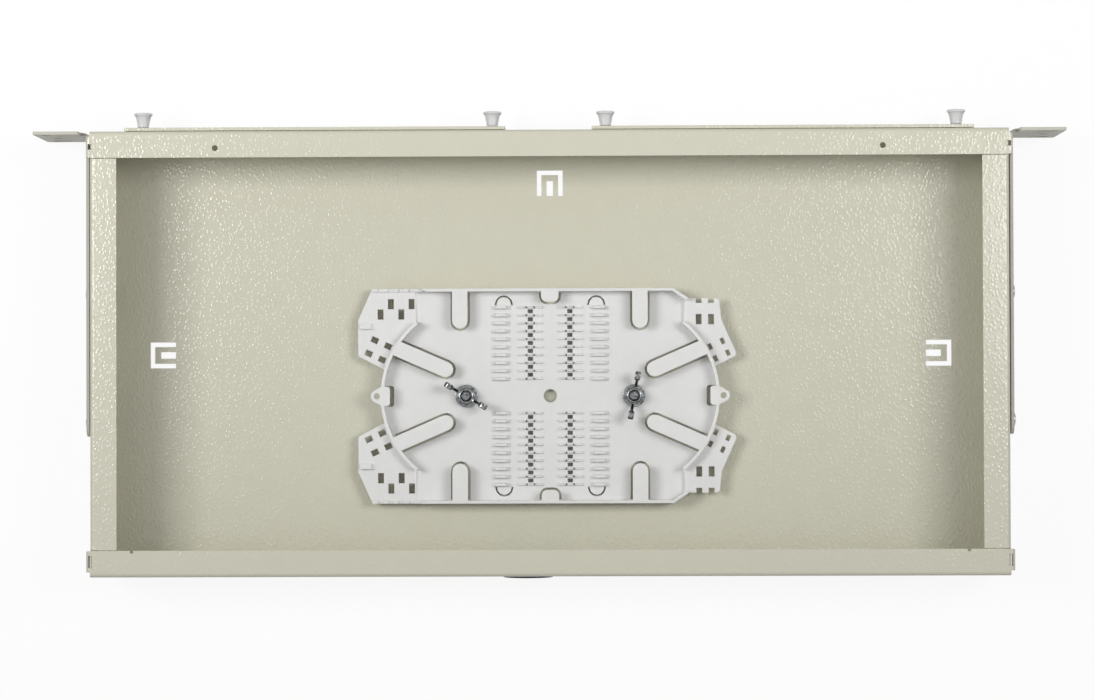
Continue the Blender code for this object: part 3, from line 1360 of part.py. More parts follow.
def build():
    make_chassis()
    make_front_plate("front_plate_left", PLATE_CENTRE_X)
    make_front_plate("front_plate_right", -PLATE_CENTRE_X)
    for place, x in LATCHES:
        make_latch_sleeve(f"latch_sleeve_{place}", x)
        make_latch_plunger(f"latch_plunger_{place}", x)
    for word, side in (("left", 1), ("right", -1)):
        make_ear(f"rack_ear_{word}", side)
        for place, y in zip(("front", "rear"), EAR_SCREW_Y):
            make_blind_nut(f"blind_nut_{word}_{place}", side, y)
            make_ear_screw(f"ear_screw_{word}_{place}", side, y)
    make_splice_tray()
    for word, side, turn in (("left", 1, LEFT_NUT_TURN), ("right", -1, RIGHT_NUT_TURN)):
        x = side * STUD_SPACING / 2
        make_stud(f"tray_stud_{word}", x)
        make_ring(f"tray_spacer_{word}", x, SPACER_RADIUS, SPACER_BORE, SPACER_BASE,
                  SPACER_BASE + SPACER_HEIGHT)
        make_ring(f"tray_washer_{word}", x, WASHER_RADIUS, SPACER_BORE, WASHER_BASE,
                  WASHER_BASE + WASHER_THICKNESS)
        make_wing_nut(f"wing_nut_{word}", x, turn)
    make_cable_grommet()
    bpy.context.view_layer.update()


build()
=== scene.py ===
# %% [markdown]
# A fibre distribution box, dressed for its portrait
#
# The box is a 19 inch rack drawer of folded steel, seen from straight above with its cover off. The
# solids come from the construction model. This script gives them their finish: rounded edges,
# turned and moulded small parts, powder coat, white plastic, nylon, zinc and rubber. Everything is
# in metres, with the front of the box towards -Y and the floor of the box on the ground.

# %% Load the frame
import math

import bmesh
import bpy
from mathutils import Matrix, Vector


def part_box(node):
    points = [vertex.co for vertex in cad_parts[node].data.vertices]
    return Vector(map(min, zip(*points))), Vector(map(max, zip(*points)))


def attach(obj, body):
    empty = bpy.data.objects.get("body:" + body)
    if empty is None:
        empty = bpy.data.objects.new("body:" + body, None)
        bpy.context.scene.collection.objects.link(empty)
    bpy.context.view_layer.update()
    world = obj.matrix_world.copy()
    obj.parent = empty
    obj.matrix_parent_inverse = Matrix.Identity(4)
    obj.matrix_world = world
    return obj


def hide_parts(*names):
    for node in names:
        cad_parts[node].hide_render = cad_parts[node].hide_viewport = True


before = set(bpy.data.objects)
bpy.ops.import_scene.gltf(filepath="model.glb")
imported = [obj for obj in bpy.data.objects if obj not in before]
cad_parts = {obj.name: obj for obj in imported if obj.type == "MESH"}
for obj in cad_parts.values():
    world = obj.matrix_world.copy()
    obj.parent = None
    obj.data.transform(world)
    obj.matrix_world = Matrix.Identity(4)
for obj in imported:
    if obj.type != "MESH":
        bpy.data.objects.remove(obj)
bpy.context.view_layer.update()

# %% [markdown]
# A camera that looks straight down
#
# The photograph was taken from about a metre and a half above the box, a little to the right of its
# middle and a little behind it, so that the walls lean outwards only slightly. The place and the
# tilt were worked out from where the ends of the walls and of the ears fall in the picture. The
# picture's top is the front of the box, so the camera is turned half round.

# %% Camera
CAMERA_PLACE = (-0.0229, 0.0235, 1.5622)
CAMERA_TILT = (0.931, 0.901, 179.811)
FOCAL_LENGTH = 107.27
SENSOR_WIDTH = 36.0
NEAREST_SEEN = 0.05

camera_data = bpy.data.cameras.new("camera")
camera_data.lens = FOCAL_LENGTH
camera_data.sensor_width = SENSOR_WIDTH
camera_data.clip_start = NEAREST_SEEN
camera = bpy.data.objects.new("camera", camera_data)
camera.location = CAMERA_PLACE
camera.rotation_euler = [math.radians(angle) for angle in CAMERA_TILT]
bpy.context.scene.collection.objects.link(camera)
bpy.context.scene.camera = camera
bpy.context.scene.view_settings.view_transform = "Standard"

# %% [markdown]
# Light like a product table's
#
# A long soft box hangs on either side, and a pale ceiling fills in from above. The room is darker
# towards the horizon, so that upright faces and the bends round the flanges stay dark. Each soft
# box starts outside the wall on its side, so each side flange throws a dark band on the floor of
# the box, and past that band the bumps of the powder coat catch the light and sparkle. Both are
# aimed in front of the box and spread less widely than a bare panel, so the light fades towards the
# rear.

# %% Lights and world
LIGHT_HEIGHT = 0.85
LIGHT_INNER_X = 0.425
LIGHT_SHIFT_X = 0.045
LIGHT_WIDTH = 0.351
LIGHT_LENGTH = 0.42
LIGHT_MIDDLE_Y = -0.160
LIGHT_AIM_Y = -0.36
LIGHT_SPREAD = math.radians(120)
LIGHT_POWERS = {1: 2.84, -1: 2.20}
WORLD_ZENITH = 0.384
WORLD_HORIZON = 0.208
WHITE = (1.0, 1.0, 1.0, 1.0)


def add_soft_box(name, side):
    light = bpy.data.lights.new(name, "AREA")
    light.shape = "RECTANGLE"
    light.size = LIGHT_WIDTH
    light.size_y = LIGHT_LENGTH
    light.energy = LIGHT_POWERS[side]
    light.spread = LIGHT_SPREAD
    lamp = bpy.data.objects.new(name, light)
    middle_x = side * (LIGHT_INNER_X + LIGHT_WIDTH / 2) + LIGHT_SHIFT_X
    lamp.location = (middle_x, LIGHT_MIDDLE_Y, LIGHT_HEIGHT)
    aim = Vector((0, LIGHT_AIM_Y, 0)) - lamp.location
    lamp.rotation_euler = aim.to_track_quat("-Z", "Y").to_euler()
    bpy.context.scene.collection.objects.link(lamp)


def seen_rays(tree):
    """One for a ray from the camera, a reflection or a clear piece, and zero for light itself."""
    path = tree.nodes.new("ShaderNodeLightPath")
    result = path.outputs["Is Camera Ray"]
    for kind in ("Is Glossy Ray", "Is Transmission Ray"):
        either = tree.nodes.new("ShaderNodeMath")
        either.operation = "MAXIMUM"
        tree.links.new(result, either.inputs[0])
        tree.links.new(path.outputs[kind], either.inputs[1])
        result = either.outputs["Value"]
    return result


def add_world():
    world = bpy.data.worlds.new("room")
    world.use_nodes = True
    nodes = world.node_tree.nodes
    links = world.node_tree.links
    nodes.clear()
    room = nodes.new("ShaderNodeBackground")
    room.inputs["Color"].default_value = WHITE
    place = nodes.new("ShaderNodeTexCoord")
    split = nodes.new("ShaderNodeSeparateXYZ")
    level = nodes.new("ShaderNodeMapRange")
    level.inputs["To Min"].default_value = WORLD_HORIZON
    level.inputs["To Max"].default_value = WORLD_ZENITH
    links.new(place.outputs["Generated"], split.inputs["Vector"])
    links.new(split.outputs["Z"], level.inputs["Value"])
    links.new(level.outputs["Result"], room.inputs["Strength"])
    seen = nodes.new("ShaderNodeBackground")
    seen.inputs["Color"].default_value = WHITE
    seen.inputs["Strength"].default_value = 1.0
    mix = nodes.new("ShaderNodeMixShader")
    output = nodes.new("ShaderNodeOutputWorld")
    links.new(seen_rays(world.node_tree), mix.inputs["Fac"])
    links.new(room.outputs["Background"], mix.inputs[1])
    links.new(seen.outputs["Background"], mix.inputs[2])
    links.new(mix.outputs["Shader"], output.inputs["Surface"])
    bpy.context.scene.world = world


add_soft_box("soft_box_left", 1)
add_soft_box("soft_box_right", -1)
add_world()

# %% [markdown]
# A white table that still takes a shadow
#
# The picture's ground is pure white, also where it shows through the cable-tie slots in the floor,
# where a real table would be dark. So the table glows for the camera and keeps a share of its own
# shading, which leaves a faint shadow under the box. For the light itself the table is grey, so
# that it doesn't brighten the outsides of the walls and the narrow gaps from below.

# %% Table
TABLE_HALF = 6.0
TABLE_GLOW = 0.90
TABLE_WHITE = 0.90
TABLE_GREY = 0.52
TABLE_DROP = 0.0004


def add_table():
    bm = bmesh.new()
    bmesh.ops.create_grid(bm, x_segments=1, y_segments=1, size=TABLE_HALF)
    bmesh.ops.translate(bm, verts=bm.verts, vec=(0, 0, -TABLE_DROP))
    mesh = bpy.data.meshes.new("table")
    bm.to_mesh(mesh)
    bm.free()
    table = bpy.data.objects.new("table", mesh)
    bpy.context.scene.collection.objects.link(table)
    material = bpy.data.materials.new("white_table")
    material.use_nodes = True
    nodes = material.node_tree.nodes
    links = material.node_tree.links
    nodes.clear()
    matt = nodes.new("ShaderNodeBsdfDiffuse")
    tone = nodes.new("ShaderNodeMapRange")
    tone.inputs["To Min"].default_value = TABLE_GREY
    tone.inputs["To Max"].default_value = TABLE_WHITE
    glow = nodes.new("ShaderNodeEmission")
    glow.inputs["Color"].default_value = WHITE
    glow.inputs["Strength"].default_value = 1.0
    share = nodes.new("ShaderNodeMath")
    share.operation = "MULTIPLY"
    share.inputs[1].default_value = TABLE_GLOW
    mix = nodes.new("ShaderNodeMixShader")
    output = nodes.new("ShaderNodeOutputMaterial")
    seen = seen_rays(material.node_tree)
    links.new(seen, tone.inputs["Value"])
    links.new(tone.outputs["Result"], matt.inputs["Color"])
    links.new(seen, share.inputs[0])
    links.new(share.outputs["Value"], mix.inputs["Fac"])
    links.new(matt.outputs["BSDF"], mix.inputs[1])
    links.new(glow.outputs["Emission"], mix.inputs[2])
    links.new(mix.outputs["Shader"], output.inputs["Surface"])
    table.data.materials.append(material)


add_table()

# %% [markdown]
# Finishes
#
# Every finish starts from the same few nodes: object coordinates, a noise and a bump. Object
# coordinates are in metres here, so a noise scale of 700 gives bumps about a millimetre and a half
# apart, which is the size of the orange peel on this powder coat.

# %% Helpers for materials
WIDE_BAND = (0.3, 0.7)
NARROW_BAND = (0.35, 0.65)


def new_finish(name, colour, roughness, metallic=0.0):
    material = bpy.data.materials.new(name)
    material.use_nodes = True
    shader = material.node_tree.nodes["Principled BSDF"]
    shader.inputs["Base Color"].default_value = (*colour, 1.0)
    shader.inputs["Roughness"].default_value = roughness
    shader.inputs["Metallic"].default_value = metallic
    return material, shader


def add_noise(material, scale, detail, distortion=0.0):
    nodes = material.node_tree.nodes
    place = nodes.new("ShaderNodeTexCoord")
    noise = nodes.new("ShaderNodeTexNoise")
    noise.inputs["Scale"].default_value = scale
    noise.inputs["Detail"].default_value = detail
    noise.inputs["Distortion"].default_value = distortion
    material.node_tree.links.new(place.outputs["Object"], noise.inputs["Vector"])
    return noise


def add_ramp(material, noise, band, low_value=0.0, high_value=1.0):
    """A ramp that turns a band of a noise's values into a range of its own."""
    ramp = material.node_tree.nodes.new("ShaderNodeMapRange")
    ramp.inputs["From Min"].default_value = band[0]
    ramp.inputs["From Max"].default_value = band[1]
    ramp.inputs["To Min"].default_value = low_value
    ramp.inputs["To Max"].default_value = high_value
    material.node_tree.links.new(noise.outputs["Fac"], ramp.inputs["Value"])
    return ramp.outputs["Result"]


def add_bump(material, shader, height, distance, below=None):
    """A bump of the given height, in metres, on top of another one if there is one."""
    nodes = material.node_tree.nodes
    links = material.node_tree.links
    bump = nodes.new("ShaderNodeBump")
    bump.inputs["Distance"].default_value = distance
    bump.inputs["Strength"].default_value = 1.0
    links.new(height, bump.inputs["Height"])
    if below is not None:
        links.new(below.outputs["Normal"], bump.inputs["Normal"])
    links.new(bump.outputs["Normal"], shader.inputs["Normal"])
    return bump


def vary_colour(material, shader, noise, band, dark, light):
    """Two tones, mixed by a noise, as the colour of a finish."""
    nodes = material.node_tree.nodes
    links = material.node_tree.links
    mix = nodes.new("ShaderNodeMix")
    mix.data_type = "RGBA"
    mix.inputs[6].default_value = (*dark, 1.0)
    mix.inputs[7].default_value = (*light, 1.0)
    links.new(add_ramp(material, noise, band), mix.inputs["Factor"])
    links.new(mix.outputs[2], shader.inputs["Base Color"])


# %% [markdown]
# A coarse powder coat
#
# The paint is a pebble grey, and it dried with rounded bumps about a millimetre and a half apart. A
# bump is low, so from above it only glints where a lamp is almost in mirror position, which is
# beside the walls. The bumps could be displaced geometry, but that would need millions of faces, so
# they are made in the material: the distance to scattered points, turned into separate round drops,
# with a finer grain below. A little noise bends the drops, because real ones aren't round.

# %% Powder coat
COAT_COLOUR = (0.575, 0.560, 0.455)
COAT_DARK = (0.566, 0.551, 0.447)
COAT_ROUGHNESS = 0.18
COAT_GLOSS = 0.46
COAT_DROPS = 680
COAT_DROP_STRETCH = (1.0, 0.72, 1.0)
COAT_DROP_BEND = 0.0006
COAT_BEND_SCALE = 0.7
COAT_DROP_EDGE = 0.62
COAT_DROP_TOP = 0.05
COAT_BUMP_HEIGHT = 0.000085
COAT_PATCHES = 90
COAT_GRAIN = 2600
COAT_GRAIN_HEIGHT = 0.00001
COAT_WEAR = 0.15
# The ears get a darker copy of the body's paint: painted shade for their upright faces, which take
# less light.
EAR_SHADED_COLOUR = (0.51, 0.50, 0.435)
EAR_SHADED_DARK = (0.49, 0.48, 0.415)
EAR_ROUGHNESS = 0.42
EAR_GLOSS = 0.18
EAR_BUMP_HEIGHT = COAT_BUMP_HEIGHT * 0.3


def add_drops(material, scale, stretch, bend):
    """Height of scattered round drops, bent a little by a noise."""
    nodes = material.node_tree.nodes
    links = material.node_tree.links
    place = nodes.new("ShaderNodeTexCoord")
    bending = add_noise(material, scale * COAT_BEND_SCALE, 1)
    centred = nodes.new("ShaderNodeVectorMath")
    centred.operation = "SUBTRACT"
    centred.inputs[1].default_value = (0.5, 0.5, 0.5)
    offset = nodes.new("ShaderNodeVectorMath")
    offset.operation = "MULTIPLY_ADD"
    offset.inputs[1].default_value = (bend, bend, bend)
    mapping = nodes.new("ShaderNodeMapping")
    mapping.inputs["Scale"].default_value = stretch
    cells = nodes.new("ShaderNodeTexVoronoi")
    cells.feature = "F1"
    cells.inputs["Scale"].default_value = scale
    links.new(bending.outputs["Color"], centred.inputs[0])
    links.new(centred.outputs["Vector"], offset.inputs[0])
    links.new(place.outputs["Object"], offset.inputs[2])
    links.new(offset.outputs["Vector"], mapping.inputs["Vector"])
    links.new(mapping.outputs["Vector"], cells.inputs["Vector"])
    height = nodes.new("ShaderNodeMapRange")
    height.interpolation_type = "SMOOTHSTEP"
    height.inputs["From Min"].default_value = COAT_DROP_EDGE
    height.inputs["From Max"].default_value = COAT_DROP_TOP
    links.new(cells.outputs["Distance"], height.inputs["Value"])
    return height.outputs["Result"]


def powder_coat(name, colour, dark, roughness, gloss, bump_height):
    """Paint with patches of slightly darker tone, rounded bumps and a fine grain."""
    material, shader = new_finish(name, colour, roughness)
    shader.inputs["Specular IOR Level"].default_value = gloss
    patches = add_noise(material, COAT_PATCHES, 2)
    vary_colour(material, shader, patches, WIDE_BAND, dark, colour)
    smooth = roughness * (1 - COAT_WEAR)
    worn = roughness * (1 + COAT_WEAR)
    wear = add_ramp(material, patches, WIDE_BAND, smooth, worn)
    material.node_tree.links.new(wear, shader.inputs["Roughness"])
    fine = add_noise(material, COAT_GRAIN, 1)
    grain = add_bump(material, shader, fine.outputs["Fac"], COAT_GRAIN_HEIGHT)
    drops = add_drops(material, COAT_DROPS, COAT_DROP_STRETCH, COAT_DROP_BEND)
    add_bump(material, shader, drops, bump_height, below=grain)
    return material


coat = powder_coat(
    "powder_coat", COAT_COLOUR, COAT_DARK, COAT_ROUGHNESS, COAT_GLOSS, COAT_BUMP_HEIGHT
)
# Painted shade: a darker copy of the body's paint, for the ears' upright faces.
shaded_ear_coat = powder_coat(
    "shaded_ear_coat", EAR_SHADED_COLOUR, EAR_SHADED_DARK, EAR_ROUGHNESS, EAR_GLOSS, EAR_BUMP_HEIGHT
)
print("paints:", coat.name, shaded_ear_coat.name)

# %% [markdown]
# White plastic, nylon, zinc and rubber
#
# The tray is a satin white moulding whose thin walls let a little light through, so it has a touch
# of subsurface scattering. The latches are natural nylon, milky and half clear. The hardware is
# bright zinc: a metal with small patches of duller plating, so that its reflections break up. Its
# colours are painted far darker than real zinc, as painted reflection of a dark room.

# %% White plastic and nylon
TRAY_COLOUR = (0.725, 0.724, 0.716)
TRAY_DARK = (0.715, 0.714, 0.707)
TRAY_LIGHT = (0.735, 0.734, 0.725)
TRAY_ROUGHNESS = 0.42
TRAY_GLOW_SHARE = 0.75
TRAY_GLOW_DEPTH = 0.0018
TRAY_PATCHES = 160
TRAY_GRAIN = 3000
TRAY_GRAIN_HEIGHT = 0.000008
NYLON_COLOUR = (0.74, 0.745, 0.75)
NYLON_ROUGHNESS = 0.33
NYLON_GLOW_SHARE = 0.35
NYLON_GLOW_RADIUS = 0.004
NYLON_CLEAR_SHARE = 0.25
NYLON_IOR = 1.53
NYLON_HAZE = 500
NYLON_HAZE_HEIGHT = 0.00003


def moulded_plastic():
    material, shader = new_finish("moulded_white", TRAY_COLOUR, TRAY_ROUGHNESS)
    shader.inputs["Subsurface Weight"].default_value = TRAY_GLOW_SHARE
    shader.inputs["Subsurface Radius"].default_value = (1.0, 1.0, 1.0)
    shader.inputs["Subsurface Scale"].default_value = TRAY_GLOW_DEPTH
    patches = add_noise(material, TRAY_PATCHES, 3)
    vary_colour(material, shader, patches, WIDE_BAND, TRAY_DARK, TRAY_LIGHT)
    grain = add_noise(material, TRAY_GRAIN, 2)
    add_bump(material, shader, grain.outputs["Fac"], TRAY_GRAIN_HEIGHT)
    return material


def nylon():
    material, shader = new_finish("natural_nylon", NYLON_COLOUR, NYLON_ROUGHNESS)
    shader.inputs["Subsurface Weight"].default_value = NYLON_GLOW_SHARE
    shader.inputs["Subsurface Radius"].default_value = (NYLON_GLOW_RADIUS,) * 3
    shader.inputs["Transmission Weight"].default_value = NYLON_CLEAR_SHARE
    shader.inputs["IOR"].default_value = NYLON_IOR
    haze = add_noise(material, NYLON_HAZE, 2)
    add_bump(material, shader, haze.outputs["Fac"], NYLON_HAZE_HEIGHT)
    return material


# %% Zinc and rubber
# Painted reflection: these zinc tones are far darker than real zinc, standing in for the dark room
# it reflects; the patches are duller plating.
ZINC_SHADED_COLOUR = (0.20, 0.21, 0.215)
ZINC_SHADED_STAINED = (0.083, 0.091, 0.095)
ZINC_SHADED_CLEAN = (0.32, 0.332, 0.336)
ZINC_ROUGHNESS = 0.16
ZINC_SMOOTH = 0.10
ZINC_DULL = 0.24
ZINC_STAINS = 900
ZINC_SCRATCHES = 1800
ZINC_SCRATCH_BEND = 0.4
ZINC_SCRATCH_HEIGHT = 0.000012
RUBBER_COLOUR = (0.022, 0.022, 0.023)
RUBBER_DARK = (0.016, 0.016, 0.017)
RUBBER_LIGHT = (0.034, 0.034, 0.035)
RUBBER_ROUGHNESS = 0.62
RUBBER_BLOOM = 700
RUBBER_BLOOM_HEIGHT = 0.00003


def zinc():
    material, shader = new_finish("bright_zinc", ZINC_SHADED_COLOUR, ZINC_ROUGHNESS, 1.0)
    stains = add_noise(material, ZINC_STAINS, 4)
    dulled = add_ramp(material, stains, WIDE_BAND, ZINC_SMOOTH, ZINC_DULL)
    material.node_tree.links.new(dulled, shader.inputs["Roughness"])
    vary_colour(material, shader, stains, NARROW_BAND, ZINC_SHADED_STAINED, ZINC_SHADED_CLEAN)
    scratches = add_noise(material, ZINC_SCRATCHES, 3, ZINC_SCRATCH_BEND)
    add_bump(material, shader, scratches.outputs["Fac"], ZINC_SCRATCH_HEIGHT)
    return material


def rubber():
    material, shader = new_finish("black_rubber", RUBBER_COLOUR, RUBBER_ROUGHNESS)
    bloom = add_noise(material, RUBBER_BLOOM, 3)
    vary_colour(material, shader, bloom, NARROW_BAND, RUBBER_DARK, RUBBER_LIGHT)
    add_bump(material, shader, bloom.outputs["Fac"], RUBBER_BLOOM_HEIGHT)
    return material


white = moulded_plastic()
natural = nylon()
bright = zinc()
black = rubber()
print("finishes:", [m.name for m in (coat, shaded_ear_coat, white, natural, bright, black)])

# %% [markdown]
# Rounded edges on sheet metal and mouldings
#
# The construction solids have knife edges, and a real edge never does: paint and tool wear round
# it, and that thin round line is what catches the light. The solid's mesh comes as loose triangles,
# so a copy of it is merged, its flat faces are joined, and every sharp edge gets a small bevel. The
# triangles of a bend are left alone, because smooth shading already rounds them.

# %% Rounded copies of solids
BEND_ANGLE = math.radians(42)
FLAT_ANGLE = math.radians(0.5)
SAME_PLACE = 2e-6
LARGE_FACE_WEIGHT = 100


def show_piece(name, bm, material, body, nodes):
    mesh = bpy.data.meshes.new(name)
    bm.to_mesh(mesh)
    bm.free()
    mesh.shade_smooth()
    mesh.set_sharp_from_angle(angle=BEND_ANGLE)
    mesh.materials.append(material)
    piece = bpy.data.objects.new(name, mesh)
    bpy.context.scene.collection.objects.link(piece)
    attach(piece, body)
    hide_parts(*nodes)
    even = piece.modifiers.new("even_shading", "WEIGHTED_NORMAL")
    even.keep_sharp = True
    even.weight = LARGE_FACE_WEIGHT


def merged_copy(node):
    bm = bmesh.new()
    bm.from_mesh(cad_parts[node].data)
    bmesh.ops.remove_doubles(bm, verts=bm.verts, dist=SAME_PLACE)
    bmesh.ops.dissolve_limit(
        bm,
        angle_limit=FLAT_ANGLE,
        use_dissolve_boundaries=False,
        verts=bm.verts,
        edges=bm.edges,
        delimit=set(),
    )
    return bm


def bevel(bm, edges, width, segments):
    bmesh.ops.bevel(
        bm,
        geom=edges,
        offset=width,
        offset_type="OFFSET",
        segments=segments,
        profile=0.5,
        affect="EDGES",
        clamp_overlap=True,
        material=-1,
    )


def round_edges(bm, width, segments=2):
    """Bevels every sharp edge between two faces, and gives back how many there were."""
    sharp = [
        edge for edge in bm.edges
        if len(edge.link_faces) == 2 and edge.calc_face_angle() > BEND_ANGLE
    ]
    bevel(bm, sharp, width, segments)
    return len(sharp)


def rounded_piece(name, node, material):
    bm = merged_copy(node)
    count = round_edges(bm, EDGE_ROUND)
    print(name, "edges rounded:", count, "faces:", len(bm.faces))
    show_piece(name, bm, material, "box", [node])


# %% Sheet-metal pieces
EDGE_ROUND = 0.00018

rounded_piece("painted_chassis", "chassis", coat)
for word in ("left", "right"):
    rounded_piece(f"painted_plate_{word}", f"front_plate_{word}", coat)
    rounded_piece(f"painted_ear_{word}", f"rack_ear_{word}", shaded_ear_coat)

# %% [markdown]
# Joining and cutting solids
#
# Some details are easiest as one solid taken from another: the cross in a screw's head, the slots
# of a latch, the pits of the tray's combs. The helper puts both in the scene for a moment, lets a
# Boolean modifier work, and reads the result back as a bmesh, so that it can be bevelled
# afterwards.

# %% Joining and cutting
TINY = 1e-7


def combine(bm, tool, operation):
    objects = []
    for source in (bm, tool):
        mesh = bpy.data.meshes.new("working")
        source.to_mesh(mesh)
        source.free()
        working = bpy.data.objects.new("working", mesh)
        bpy.context.scene.collection.objects.link(working)
        objects.append(working)
    step = objects[0].modifiers.new("combine", "BOOLEAN")
    step.operation = operation
    step.solver = "EXACT"
    step.object = objects[1]
    result = bmesh.new()
    result.from_object(objects[0], bpy.context.evaluated_depsgraph_get())
    for working in objects:
        mesh = working.data
        bpy.data.objects.remove(working)
        bpy.data.meshes.remove(mesh)
    bmesh.ops.remove_doubles(result, verts=result.verts, dist=TINY)
    return result


def add_block(bm, centre, size):
    """Adds a box to a bmesh, and gives back its corners."""
    made = bmesh.ops.create_cube(bm, size=1.0)["verts"]
    bmesh.ops.scale(bm, verts=made, vec=size)
    bmesh.ops.translate(bm, verts=made, vec=centre)
    return made


# %% [markdown]
# The splice tray
#
# The tray is one injection moulding: a floor with combs that hold the splice sleeves, a rim that
# runs round the two coils of fibre, tabs that reach in over them, and wings with holes for cable
# ties. All of that is in its solid, so here its edges are only softened, and the pairs of small
# square pits that the mould's core pins leave beside every comb hole are cut in.

# %% Splice tray
TRAY_EDGE = 0.00021
PIT_SIZE = 0.00078
PIT_DEPTH = 0.0009
PIT_OFFSET = 0.0018
COMB_COLUMN_X = 0.00945
COMB_RIBS = 10
COMB_PITCH = 0.00379
COMB_FIRST_Y = 0.0082
COMB_TOP = 0.0016
PIT_CLEARANCE = 1.2
TRAY_FLOOR = 0.0016

tray_low, tray_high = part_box("splice_tray")
tray_middle_y = (tray_low[1] + tray_high[1]) / 2
tray_floor_top = tray_low[2] + TRAY_FLOOR


def comb_pits():
    """Square pits on both sides of every hole in the two columns between the ribs."""
    bm = bmesh.new()
    low = tray_floor_top - PIT_DEPTH
    high = tray_floor_top + PIT_CLEARANCE * COMB_TOP
    middle = (low + high) / 2
    for side in (-1, 1):
        for end in (-1, 1):
            for index in range(COMB_RIBS):
                y = tray_middle_y + end * (COMB_FIRST_Y + index * COMB_PITCH)
                for offset in (-PIT_OFFSET, PIT_OFFSET):
                    x = side * COMB_COLUMN_X + offset
                    add_block(bm, (x, y, middle), (PIT_SIZE, PIT_SIZE, high - low))
    return bm


tray = merged_copy("splice_tray")
print("tray edges rounded:", round_edges(tray, TRAY_EDGE))
tray = combine(tray, comb_pits(), "DIFFERENCE")
print("tray faces:", len(tray.faces))
show_piece("moulded_tray", tray, white, "box", ["splice_tray"])

# %% [markdown]
# Turned pieces
#
# Studs, washers, screws, nuts and latches are all turned: each is a profile spun round an axis. A
# profile that touches the axis closes itself there. The sharp edges are bevelled afterwards, which
# is shorter than drawing each small radius in the profile. A piece is made upright at the origin,
# and then turned and moved into its place, which is measured from the solid that it stands for.

# %% Turned pieces
TURNED_STEPS = 48


def turned(profile, closed=False, steps=TURNED_STEPS):
    bm = bmesh.new()
    verts = [bm.verts.new((radius, 0, height)) for radius, height in profile]
    edges = [bm.edges.new(pair) for pair in zip(verts, verts[1:])]
    if closed:
        edges.append(bm.edges.new((verts[-1], verts[0])))
    bmesh.ops.spin(
        bm,
        geom=verts + edges,
        cent=(0, 0, 0),
        axis=(0, 0, 1),
        angle=2 * math.pi,
        steps=steps,
        use_merge=True,
    )
    bmesh.ops.remove_doubles(bm, verts=bm.verts, dist=TINY)
    bmesh.ops.recalc_face_normals(bm, faces=bm.faces)
    return bm


def centre_of(node):
    low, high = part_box(node)
    return (Vector(low) + Vector(high)) / 2


UPRIGHT = Matrix.Identity(4)
FORWARD = Matrix.Rotation(math.pi / 2, 4, "X")
BACKWARD = Matrix.Rotation(-math.pi / 2, 4, "X")
SIDEWAYS = {side: Matrix.Rotation(side * math.pi / 2, 4, "Y") for side in (-1, 1)}


def place(bm, turn, point):
    bmesh.ops.transform(bm, matrix=Matrix.Translation(point) @ turn, verts=bm.verts)
    return bm


# %% [markdown]
# Screw threads
#
# A thread is a row of teeth that turns once while it climbs by one tooth, so that every tooth meets
# the next one. Spin does both: the angle turns it, and a small step along the axis lifts it. The
# rough rod is then cut to the shape of the bar it was rolled from, which trims and chamfers its
# ends.

# %% Threads
SPARE_TEETH = 4
FIRST_TOOTH = -2.5
CREST_START = 0.42
CREST_END = 0.58
THREAD_GAP = 1e-6


def threaded_rod(radius, depth, pitch, low, high, chamfer, steps=32):
    bm = bmesh.new()
    count = math.ceil((high - low) / pitch) + SPARE_TEETH
    verts = []
    for tooth in range(count):
        base = low + (tooth + FIRST_TOOTH) * pitch
        verts.append(bm.verts.new((radius - depth, 0, base)))
        verts.append(bm.verts.new((radius, 0, base + pitch * CREST_START)))
        verts.append(bm.verts.new((radius, 0, base + pitch * CREST_END)))
    edges = [bm.edges.new(pair) for pair in zip(verts, verts[1:])]
    bmesh.ops.spin(
        bm,
        geom=verts + edges,
        cent=(0, 0, 0),
        axis=(0, 0, 1),
        dvec=(0, 0, pitch / steps),
        angle=2 * math.pi,
        steps=steps,
        use_merge=False,
    )
    bmesh.ops.remove_doubles(bm, verts=bm.verts, dist=THREAD_GAP)
    for height, up in ((low - pitch / 3, -1), (high + pitch / 3, 1)):
        bmesh.ops.bisect_plane(
            bm,
            geom=list(bm.verts) + list(bm.edges) + list(bm.faces),
            plane_co=(0, 0, height),
            plane_no=(0, 0, up),
            clear_outer=True,
        )
        rim = [
            edge for edge in bm.edges
            if edge.is_boundary and abs(edge.verts[0].co.z - height) < THREAD_GAP
        ]
        bmesh.ops.edgeloop_fill(bm, edges=rim)
    bmesh.ops.recalc_face_normals(bm, faces=bm.faces)
    shoulder = (radius, high - chamfer)
    bar = turned([(0, low), (radius, low), shoulder, (radius - chamfer, high), (0, high)])
    return combine(bm, bar, "INTERSECT")


# %% [markdown]
# Studs, spacers and washers
#
# Two welded studs carry the tray. Only the last few turns of thread show above the wing nuts, but a
# stud is threaded all the way. The spacer lifts the tray off the floor, and the washer spreads the
# wing nut's grip on the plastic. A washer is punched from sheet, so its edges are slightly round.

# %% Studs, spacers and washers
STUD_PITCH = 0.0007
STUD_THREAD = 0.00038
STUD_CHAMFER = 0.0005
RING_EDGE = 0.00015
RING_BORE = 0.0028


def measured(node):
    """Radius, lower end and upper end of an upright round solid."""
    low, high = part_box(node)
    return (high[0] - low[0]) / 2, low[2], high[2]


def plain_ring(node):
    radius, low, high = measured(node)
    corners = [(RING_BORE, low), (radius, low), (radius, high), (RING_BORE, high)]
    bm = turned(corners, closed=True)
    round_edges(bm, RING_EDGE)
    middle = centre_of(node)
    return place(bm, UPRIGHT, (middle.x, middle.y, 0))


